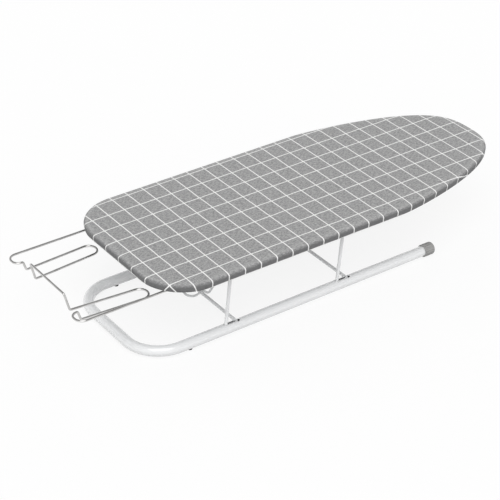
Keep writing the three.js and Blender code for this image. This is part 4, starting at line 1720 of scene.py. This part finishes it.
@dataclass(frozen=True)
class BoardFrame:
    """The steel of the board: rim, deck of pierced sheet and five cross channels."""

    outline: BoardOutline = BoardOutline()
    rim_inset: float = 2.2
    rim_flange: float = 8.0
    rim_wall: float = 1.0
    rim_radius: float = 3.0
    rim_bottom: float = 139.3
    rim_top: float = 146.3
    rim_stations: int = 320
    rim_steps: int = 4
    deck_bottom: float = 146.6
    deck_thickness: float = 1.0
    deck_inset: float = 3.0
    deck_cells: int = 64
    deck_cuts: int = 96
    mesh_length: float = 27.0
    mesh_width: float = 11.5
    whole_cell: float = 0.9
    strand: float = 1.0
    channel_width: float = 30.0
    channel_wall: float = 1.2
    channel_bend: float = 1.6
    channel_bottom: float = 140.6
    channel_top: float = 145.0
    channel_inset: float = 5.5
    bead_foot: float = 5.0
    bead_top: float = 3.0
    bead_rise: float = 1.6
    bead_bend: float = 1.5
    fold_step: float = math.radians(18)
    # The channels' nodes, their places and whether a stiffening bead runs along their floor
    channels: tuple[tuple[str, float, bool], ...] = (
        ("end_channel", REAR_GUIDE, False),
        ("guide_channel", FRONT_GUIDE, False),
        ("rear_channel", REAR_PIVOT, True),
        ("brace_channel", BRACE_PIVOT, True),
        ("front_channel", FRONT_PIVOT, True),
    )

    def _rim(self) -> bpy.types.Object:
        """Makes the rolled channel round the board, open inwards.

        Returns:
            The piece.
        """
        work = Workpiece()
        near, radius = self.rim_inset + self.rim_radius, self.rim_radius
        lip, steps = self.rim_inset + self.rim_flange, self.rim_steps
        profile = [
            (lip, self.rim_top),
            *arc((near, self.rim_top - radius), (radius, radius), 90, 0, steps),
            *arc((near, self.rim_bottom + radius), (radius, radius), 0, -90, steps),
            (lip, self.rim_bottom),
        ]
        EdgeSweep(self.outline, self.rim_stations).through(work, profile)
        work.thicken(self.rim_wall)
        return placed(work.finish("rolled_rim"), Body.BOARD, "rim")

    def _deck(self) -> bpy.types.Object:
        """Makes the deck: sheet steel pierced with long diamonds, closed round its border.

        Returns:
            The piece.
        """
        work, cells, cuts = Workpiece(), self.deck_cells, self.deck_cuts
        size = [side / math.sqrt(2) for side in (self.mesh_length, self.mesh_width)]
        centre = (self.outline.square_end + self.outline.length / 2, 0.0, self.deck_bottom)
        shape = Matrix.Translation(centre) @ Matrix.Diagonal((*size, 1.0, 1.0))
        bmesh.ops.create_grid(
            work.bm,
            x_segments=cells,
            y_segments=cells,
            size=cells / 2,
            matrix=shape @ Matrix.Rotation(math.pi / 4, 4, "Z"),
        )
        for i in range(cuts):
            edge = self.outline.spot(cuts, i, self.deck_inset)
            work.slice(edge.to_3d(), self.outline.normals(cuts)[i].to_3d(), clear=True)
        least = self.whole_cell * (self.mesh_length * self.mesh_width / 2)
        whole = [f for f in work.bm.faces if f.calc_area() > least]
        bmesh.ops.inset_individual(
            work.bm, faces=whole, thickness=self.strand, use_even_offset=True
        )
        bmesh.ops.delete(work.bm, geom=whole, context="FACES_ONLY")
        work.thicken(self.deck_thickness)
        lowest = min(v.co.z for v in work.bm.verts)
        work.move((0.0, 0.0, self.deck_bottom - lowest))
        return placed(work.finish("pierced_deck"), Body.BOARD, "deck")

    def _channel(self, node: str, x: float, bead: bool) -> bpy.types.Object:
        """Makes one cross channel, folded from sheet and cut to the rim.

        Args:
            node: The frame node that it stands for.
            x: Its middle along the board.
            bead: Whether a stiffening bead runs along its floor.

        Returns:
            The piece.
        """
        work = Workpiece()
        reach, span = (self.channel_width - self.channel_wall) / 2, self.outline.width / 2
        floor = self.channel_bottom + self.channel_wall / 2
        foot, top, ridge = self.bead_foot, self.bead_top, floor + self.bead_rise
        raised = [(-foot, floor), (-top, ridge), (top, ridge), (foot, floor)] if bead else []
        line = [
            Corner((x - reach, 0.0, self.channel_top)),
            Corner((x - reach, 0.0, floor), self.channel_bend),
            *(Corner((x + shift, 0.0, z), self.bead_bend) for shift, z in raised),
            Corner((x + reach, 0.0, floor), self.channel_bend),
            Corner((x + reach, 0.0, self.channel_top)),
        ]
        ends = [work.bm.verts.new((x - reach, y, self.channel_top)) for y in (-span, span)]
        work.sweep([work.bm.edges.new(ends)], line, self.fold_step)
        back, front = (
            self.outline.half_width(edge, self.channel_inset) for edge in (x - reach, x + reach)
        )
        away = Vector((back - front, 2 * reach, 0.0)).normalized()
        for side in (side.value for side in Side):
            work.slice((x - reach, side * back, floor), (away.x, side * away.y, 0.0), clear=True)
        work.thicken(self.channel_wall)
        return placed(work.finish(f"folded_{node}"), Body.BOARD, node)

    def build(self) -> Pieces:
        """Builds the board's steel.

        Returns:
            Its pieces, by their finish.
        """
        channels = [self._channel(*channel) for channel in self.channels]
        return {Coat.PLATED_STEEL: [self._rim(), self._deck(), *channels]}


@dataclass(frozen=True)
class Upholstery:
    """The pad of felt and the checked cover that an elastic hem draws round the rim."""

    outline: BoardOutline = BoardOutline()
    count: int = 560
    top: float = 153.0
    bottom: float = 138.2
    crown: float = 220.0
    crown_fall: float = 5.7
    crown_steps: int = 5
    middle_insets: Pair = (42.0, 70.0)
    shoulder: float = 4.6
    shoulder_steps: int = 9
    slant: float = 7.0
    heel: float = 2.8
    heel_steps: int = 6
    cloth: float = 0.8
    cloth_crease: float = 70.0
    hem: float = 20.0
    hem_step: float = 2.4
    hem_rows: int = 3
    hem_gap: float = 0.5
    tunnel: float = 7.0
    # The elastic's bulge in the hem, as the way past its start and the rise above the bottom
    bulge: tuple[Pair, ...] = (
        (0.0, 0.15),
        (1.0, -0.1),
        (2.6, -0.7),
        (4.6, -0.7),
        (6.2, -0.2),
        (7.0, 0.8),
    )
    gather_from: float = 15.0
    gather_pitch: float = 9.0
    gather_depth: float = 1.15
    gather_radius: float = 86.0
    gather_least: float = 0.12
    gather_power: float = 0.8
    gather_sway: float = 0.7
    gather_paces: Pair = (0.65, 1.4)
    pace_stations: int = 5
    pace_change: float = 0.25
    pad_inset: float = 3.2
    pad_top: float = 151.4
    pad_bottom: float = 147.9
    pad_round: float = 7.0
    pad_edge: float = 0.6
    pad_foot: float = 1.0
    pad_steps: int = 6
    pad_stations: int = 280
    pad_crease: float = 60.0
    seed: int = 7

    def _profile(self) -> list[Pair]:
        """Draws the cover's section, from the flat top to the hem's inner edge.

        Returns:
            Its points, as inset and height.
        """
        crown, bend, heel = self.crown, self.shoulder, self.heel
        level, fall = self.top - crown, 90 - self.crown_fall
        lean, slant, reach = math.radians(fall), math.radians(self.slant), crown - bend
        across = (bend + reach * math.cos(lean), level)
        flat = arc(across, (crown, crown), 90, fall, self.crown_steps)[:-1]
        shoulder = (bend, level + reach * math.sin(lean))
        turned = arc(shoulder, (bend, bend), fall, -self.slant, self.shoulder_steps)
        inset, height = turned[-1]
        inset += (height - (self.bottom + heel * (1 - math.sin(slant)))) * math.tan(slant)
        middle = inset + heel * math.cos(slant)
        under = (middle, self.bottom + heel)
        tucked = arc(under, (heel, heel), -self.slant, -90, self.heel_steps)
        start = self.hem - self.tunnel
        ways = [middle + self.hem_step * i for i in range(1, self.hem_rows + 1)]
        hem = [(way, self.bottom) for way in ways if way < start - self.hem_gap]
        bulge = [(start + way, self.bottom + rise) for way, rise in self.bulge]
        return [*flat, *turned, *tucked, *hem, *bulge]

    def _phases(self) -> list[float]:
        """Draws the gathers' uneven pace, which runs on round the board.

        Returns:
            Their phase at each station.
        """
        dice = random.Random(self.seed)
        first, second = self.outline.points(self.count)[:2]
        step, spacing = 2 * math.pi / self.gather_pitch, (second - first).length
        phases, pace, aim = [0.0], 1.0, 1.0
        for i in range(self.count - 1):
            if i % self.pace_stations == 0:
                aim = dice.uniform(*self.gather_paces)
            pace += (aim - pace) * self.pace_change
            phases.append(phases[-1] + step * spacing * pace)
        turns = 2 * math.pi * round(phases[-1] / (2 * math.pi))
        return [phase * turns / phases[-1] for phase in phases]

    def _gather(self, work: Workpiece, reaches: Mapping[BMVert, float]) -> None:
        """Folds the hem where the outline turns, more towards its inner edge.

        Args:
            work: The cover's skin.
            reaches: The distance of each vertex past the board's edge, along the cloth.
        """
        station, count = work.bm.verts.layers.int["station"], self.count
        turns, phases = self.outline.turns(count), self._phases()
        normals, least = self.outline.normals(count), self.gather_least
        start, last = self.gather_from, max(reaches.values())
        for vert, reach in reaches.items():
            if reach <= start:
                continue
            i, share = vert[station], (reach - start) / (last - start)
            turn = min(1.0, turns[i] * self.gather_radius)
            depth = self.gather_depth * (least + (1.0 - least) * turn) * share**self.gather_power
            vert.co.z += depth * math.sin(phases[i])
            sway = self.gather_sway * depth * math.cos(phases[i] * 0.5) * share
            vert.co += normals[i].to_3d() * sway

    def _map(self, work: Workpiece, reaches: Mapping[BMVert, float]) -> None:
        """Draws the cloth's two maps: the flat cloth, and the way round and past the edge.

        Args:
            work: The cover's skin.
            reaches: The distance of each vertex past the board's edge, along the cloth.
        """
        cloth, edge = (work.bm.loops.layers.uv.new(name) for name in ("cloth", "edge"))
        station = work.bm.verts.layers.int["station"]
        points, normals = self.outline.points(self.count), self.outline.normals(self.count)
        spacing, half = (points[1] - points[0]).length, self.count / 2
        for face in work.bm.faces:
            stations = [loop.vert[station] for loop in face.loops]
            wraps = max(stations) - min(stations) > half and len(stations) < 5
            for loop in face.loops:
                i, reach = loop.vert[station], reaches[loop.vert]
                loop[cloth].uv = (points[i] + normals[i] * reach) * MM
                way = (i + self.count if wraps and i < half else i) * spacing
                loop[edge].uv = (way * MM, reach * MM)

    def _cover(self) -> tuple[bpy.types.Object, Pair, float]:
        """Makes the cover.

        Returns:
            The piece, and its cut's flat size and area in metres.
        """
        work, sweep = Workpiece(), EdgeSweep(self.outline, self.count)
        profile = self._profile()
        first = last = sweep.start(work, *profile[0])
        reach = -profile[0][0]
        reaches = {vert: reach for vert in verts_of(first)}
        for before, after in zip(profile, profile[1:]):
            last = sweep.extend(work, last, *after)
            reach += math.dist(before, after)
            reaches.update({vert: reach for vert in verts_of(last)})
        inner = first
        for inset in self.middle_insets:
            inner = sweep.extend(work, inner, inset, self.top)
            reaches.update({vert: -inset for vert in verts_of(inner)})
        work.close(inner)
        bmesh.ops.recalc_face_normals(work.bm, faces=work.bm.faces)
        if sum(face.normal.z * face.calc_area() for face in work.bm.faces) < 0:
            bmesh.ops.reverse_faces(work.bm, faces=work.bm.faces)
        self._map(work, reaches)
        self._gather(work, reaches)
        cover = work.finish("checked_cover", self.cloth_crease, outward=False)
        skin = cover.modifiers.new("cloth", "SOLIDIFY")
        skin.thickness, skin.offset, skin.use_even_offset = self.cloth * MM, -1.0, False
        placed(cover, Body.BOARD, "cover")
        size = [(side + 2 * reach) * MM for side in (self.outline.width, self.outline.length)]
        return cover, (size[0], size[1]), self._flat_area(reach)

    def _flat_area(self, reach: float) -> float:
        """Measures the flat cut.

        Args:
            reach: How far it reaches past the board's outline.

        Returns:
            Its area in square metres.
        """
        ring = [self.outline.spot(self.count, i, -reach) for i in range(self.count)]
        doubled = sum(a.x * b.y - b.x * a.y for a, b in zip(ring, ring[1:] + ring[:1]))
        return abs(doubled) / 2 * MM * MM

    def _pad(self) -> bpy.types.Object:
        """Makes the pad: a sheet of felt with a worn round edge.

        Returns:
            The piece.
        """
        work = Workpiece()
        inset, bend = self.pad_inset, self.pad_round
        centre = (inset + bend, self.pad_bottom + self.pad_edge)
        rise = self.pad_top - self.pad_bottom - self.pad_edge
        profile = [
            (inset + 2 * bend, self.pad_top),
            *arc(centre, (bend, rise), 90, 0, self.pad_steps),
            (inset + self.pad_foot, self.pad_bottom),
        ]
        work.close(*EdgeSweep(self.outline, self.pad_stations).through(work, profile))
        return placed(work.finish("felt_pad", self.pad_crease), Body.BOARD, "pad")

    def build(self) -> Pieces:
        """Returns:
            Them, by their finish.
        """
        cover, size, area = self._cover()
        pad = self._pad()
        return {Coat.COVER_CLOTH: [cover], Coat.PAD_FELT: [pad]}


# Fittings


@dataclass(frozen=True)
class Fittings:
    """What is riveted under the channels: leg brackets, rest guides and the brace bracket."""

    pivots: tuple[tuple[str, float], ...] = (("rear", REAR_PIVOT), ("front", FRONT_PIVOT))
    guides: tuple[tuple[str, float], ...] = (("rear", REAR_GUIDE), ("front", FRONT_GUIDE))
    bracket_y: float = 102.0
    bracket_plate: float = 1.5
    guide_rivet_y: float = 108.0
    guide_lug: float = 3.0
    folded_round: float = 0.35
    moulded_round: float = 0.6
    round_segments: int = 2
    rivet_spacing: float = 20.0
    rivet_gap: float = 0.3
    rivet_sides: int = 24
    rivet_crease: float = 45.0
    seat: float = 140.3
    head_radius: float = 3.25
    head_height: float = 2.0
    head_steps: int = 7
    shank_radius: float = 1.5
    tail_height: float = 142.1
    # The rolled tail's section, as radius and height above its start
    tail: tuple[Pair, ...] = (
        (2.3, 0.0),
        (2.5, 0.2),
        (2.5, 0.7),
        (2.2, 1.0),
        (1.2, 0.9),
        (0.9, 0.4),
        (0.0, 0.3),
    )

    def _refined(self, node: str, word: str, rounding: float) -> bpy.types.Object:
        """Makes a folded or moulded part after its node, with rounded edges.

        Args:
            node: The node.
            word: How the part is made, for its name.
            rounding: The rounding of its edges.

        Returns:
            The piece.
        """
        work = Workpiece()
        work.from_node(node)
        work.bevel(work.sharp_edges(), rounding, self.round_segments)
        return placed(work.finish(f"{word}_{node}", outward=False), Body.BOARD, node)

    def _rivet(self, node: str, x: float, y: float, plate: float) -> bpy.types.Object:
        """Makes one rivet: a domed head below its plate, and a rolled tail in the channel.

        Args:
            node: The node that it stands for.
            x: Its place along the board.
            y: Its place across the board.
            plate: The thickness that the head holds.

        Returns:
            The piece.
        """
        work, head = Workpiece(), self.head_height
        top, start = self.seat - plate - self.rivet_gap, self.tail_height
        angles = [math.pi / 2 * i / self.head_steps for i in range(self.head_steps + 1)]
        profile = [
            *((self.head_radius * math.sin(a), top - head * math.cos(a)) for a in angles),
            (self.shank_radius, top),
            (self.shank_radius, start),
            *((radius, start + rise) for radius, rise in self.tail),
        ]
        work.lathe(profile, self.rivet_sides)
        work.move((x, y, 0.0))
        return placed(work.finish(f"domed_{node}", self.rivet_crease), Body.BOARD, node)

    def _bracket(self, node: str, x: float, y: float) -> list[bpy.types.Object]:
        """Makes a folded bracket and its two rivets.

        Args:
            node: The bracket's node.
            x: Its place along the board.
            y: Its place across the board.

        Returns:
            The three pieces.
        """
        made = [self._refined(node, "folded", self.folded_round)]
        shift = self.rivet_spacing / 2
        for i, along in ((1, -shift), (2, shift)):
            made.append(self._rivet(f"{node}_rivet_{i}", x + along, y, self.bracket_plate))
        return made

    def build(self) -> Pieces:
        """Builds the fittings.

        Returns:
            Their pieces, by their finish.
        """
        steel, nylon = [], []
        for side in Side:
            for end, x in self.pivots:
                node = f"leg_bracket_{end}_{side.word}"
                steel += self._bracket(node, x, side.value * self.bracket_y)
            for end, x in self.guides:
                node, y = f"rest_guide_{end}_{side.word}", side.value * self.guide_rivet_y
                nylon.append(self._refined(node, "moulded", self.moulded_round))
                steel.append(self._rivet(f"{node}_rivet", x, y, self.guide_lug))
        steel += self._bracket("brace_bracket", BRACE_PIVOT, 0.0)
        return {Coat.PLATED_STEEL: steel, Coat.NYLON: nylon}


# Studio


@dataclass(frozen=True)
class SoftLamp:
    """A broad soft lamp, far away, by the turn of its beam from straight down in degrees."""

    name: str
    turn: Point
    strength: float
    spread: float

    def hang(self) -> None:
        """Adds the lamp to the scene."""
        data = bpy.data.lights.new(self.name, "SUN")
        data.energy, data.angle = self.strength, math.radians(self.spread)
        lamp = bpy.data.objects.new(self.name, data)
        lamp.rotation_euler = [math.radians(angle) for angle in self.turn]
        bpy.context.scene.collection.objects.link(lamp)


@dataclass(frozen=True)
class Studio:
    """The floor, the lamps and the camera, in metres and degrees."""

    camera_place: Point = (-1.5164, -2.0971, 1.6656)
    camera_turn: Point = (57.93, 0.0, -35.08)
    camera_range: Pair = (0.05, 60.0)
    lens: float = 124.13
    sensor: float = 36.0
    lamps: tuple[SoftLamp, ...] = (
        SoftLamp("main_lamp", (31.0, -18.0, 0.0), 1.4, 50.0),
        SoftLamp("fill_lamp", (36.9, -69.6, 0.0), 0.3, 80.0),
    )
    white: Colour = (1.0, 1.0, 1.0, 1.0)
    horizon: float = 1.25
    zenith: float = 0.25
    backdrop_top: float = 0.3
    backdrop_fade: float = 0.15
    ceiling: float = 0.4
    floor_size: float = 9.0
    floor_seen: float = 0.98
    floor_bounce: float = 0.5
    floor_glow: float = 0.84

    def _camera(self) -> None:
        """Sets the camera where the photograph was taken from."""
        data = bpy.data.cameras.new("camera")
        data.lens, data.sensor_width = self.lens, self.sensor
        data.clip_start, data.clip_end = self.camera_range
        camera = bpy.data.objects.new("camera", data)
        camera.location = self.camera_place
        camera.rotation_euler = [math.radians(angle) for angle in self.camera_turn]
        bpy.context.scene.collection.objects.link(camera)
        bpy.context.scene.camera = camera

    def _floor(self) -> None:
        """Lays a plain pale floor, which the underside can be seen through from below."""
        work = Workpiece()
        bmesh.ops.create_grid(work.bm, x_segments=1, y_segments=1, size=self.floor_size / MM)
        floor = work.finish("floor", outward=False)
        shader = Shader.new("floor")
        seen = shader.ray("Camera")
        shown = shader.math("MAXIMUM", shader.ray("Transmission", "Glossy"), seen)
        level = shown * (self.floor_seen - self.floor_bounce) + self.floor_bounce
        plain = shader.node("ShaderNodeBsdfDiffuse", inputs={"Color": level})
        bright = shader.node("ShaderNodeEmission", inputs={"Color": self.white, "Strength": 1.0})
        lit = shader.layered(shown * self.floor_glow, plain, bright)
        back = Signal(shader, shader.node("ShaderNodeNewGeometry").outputs["Backfacing"])
        mixed = shader.layered(seen * back, lit, shader.node("ShaderNodeBsdfTransparent"))
        shader.node("ShaderNodeOutputMaterial", inputs={"Surface": mixed.outputs[0]})
        floor.data.materials.append(shader.owner)

    def _sky(self) -> None:
        """Surrounds the scene with light, and with white where it or its mirror image is seen."""
        world = bpy.data.worlds.new("studio")
        bpy.context.scene.world = world
        shader = Shader(world)
        seen = shader.ray("Camera", "Transmission")
        around = Signal(shader, shader.node("ShaderNodeTexCoord").outputs["Generated"])
        upward = shader.parts(around)[2]
        level = shader.math("MAXIMUM", upward, 0.0) * (self.zenith - self.horizon) + self.horizon
        low, high = (self.backdrop_top + fade for fade in (-self.backdrop_fade, self.backdrop_fade))
        backdrop = shader.step(upward, low, high, 1.0, self.ceiling)
        lit = shader.ray("Glossy") * (backdrop - level) + level
        light = {"Color": self.white, "Strength": lit + seen * (1.0 - lit)}
        back = shader.node("ShaderNodeBackground", inputs=light)
        shader.node("ShaderNodeOutputWorld", inputs={"Surface": back.outputs[0]})

    def build(self) -> None:
        """Sets the whole stage and the picture's colours."""
        self._camera()
        self._floor()
        self._sky()
        for lamp in self.lamps:
            lamp.hang()
        bpy.context.scene.view_settings.view_transform = "Standard"


def main() -> None:
    """Builds the stage and every part of the ironing board."""
    logging.basicConfig(level=logging.INFO, format="%(message)s")
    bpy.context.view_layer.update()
    Studio().build()
    dresser = Dresser()
    for assembly in (Base(), Linkage(), IronRest(), BoardFrame(), Upholstery(), Fittings()):
        log.info("%s", type(assembly).__name__)
        for coat, pieces in assembly.build().items():
            for piece in pieces:
                dresser.dress(piece, coat)


if __name__ == "__main__":
    main()
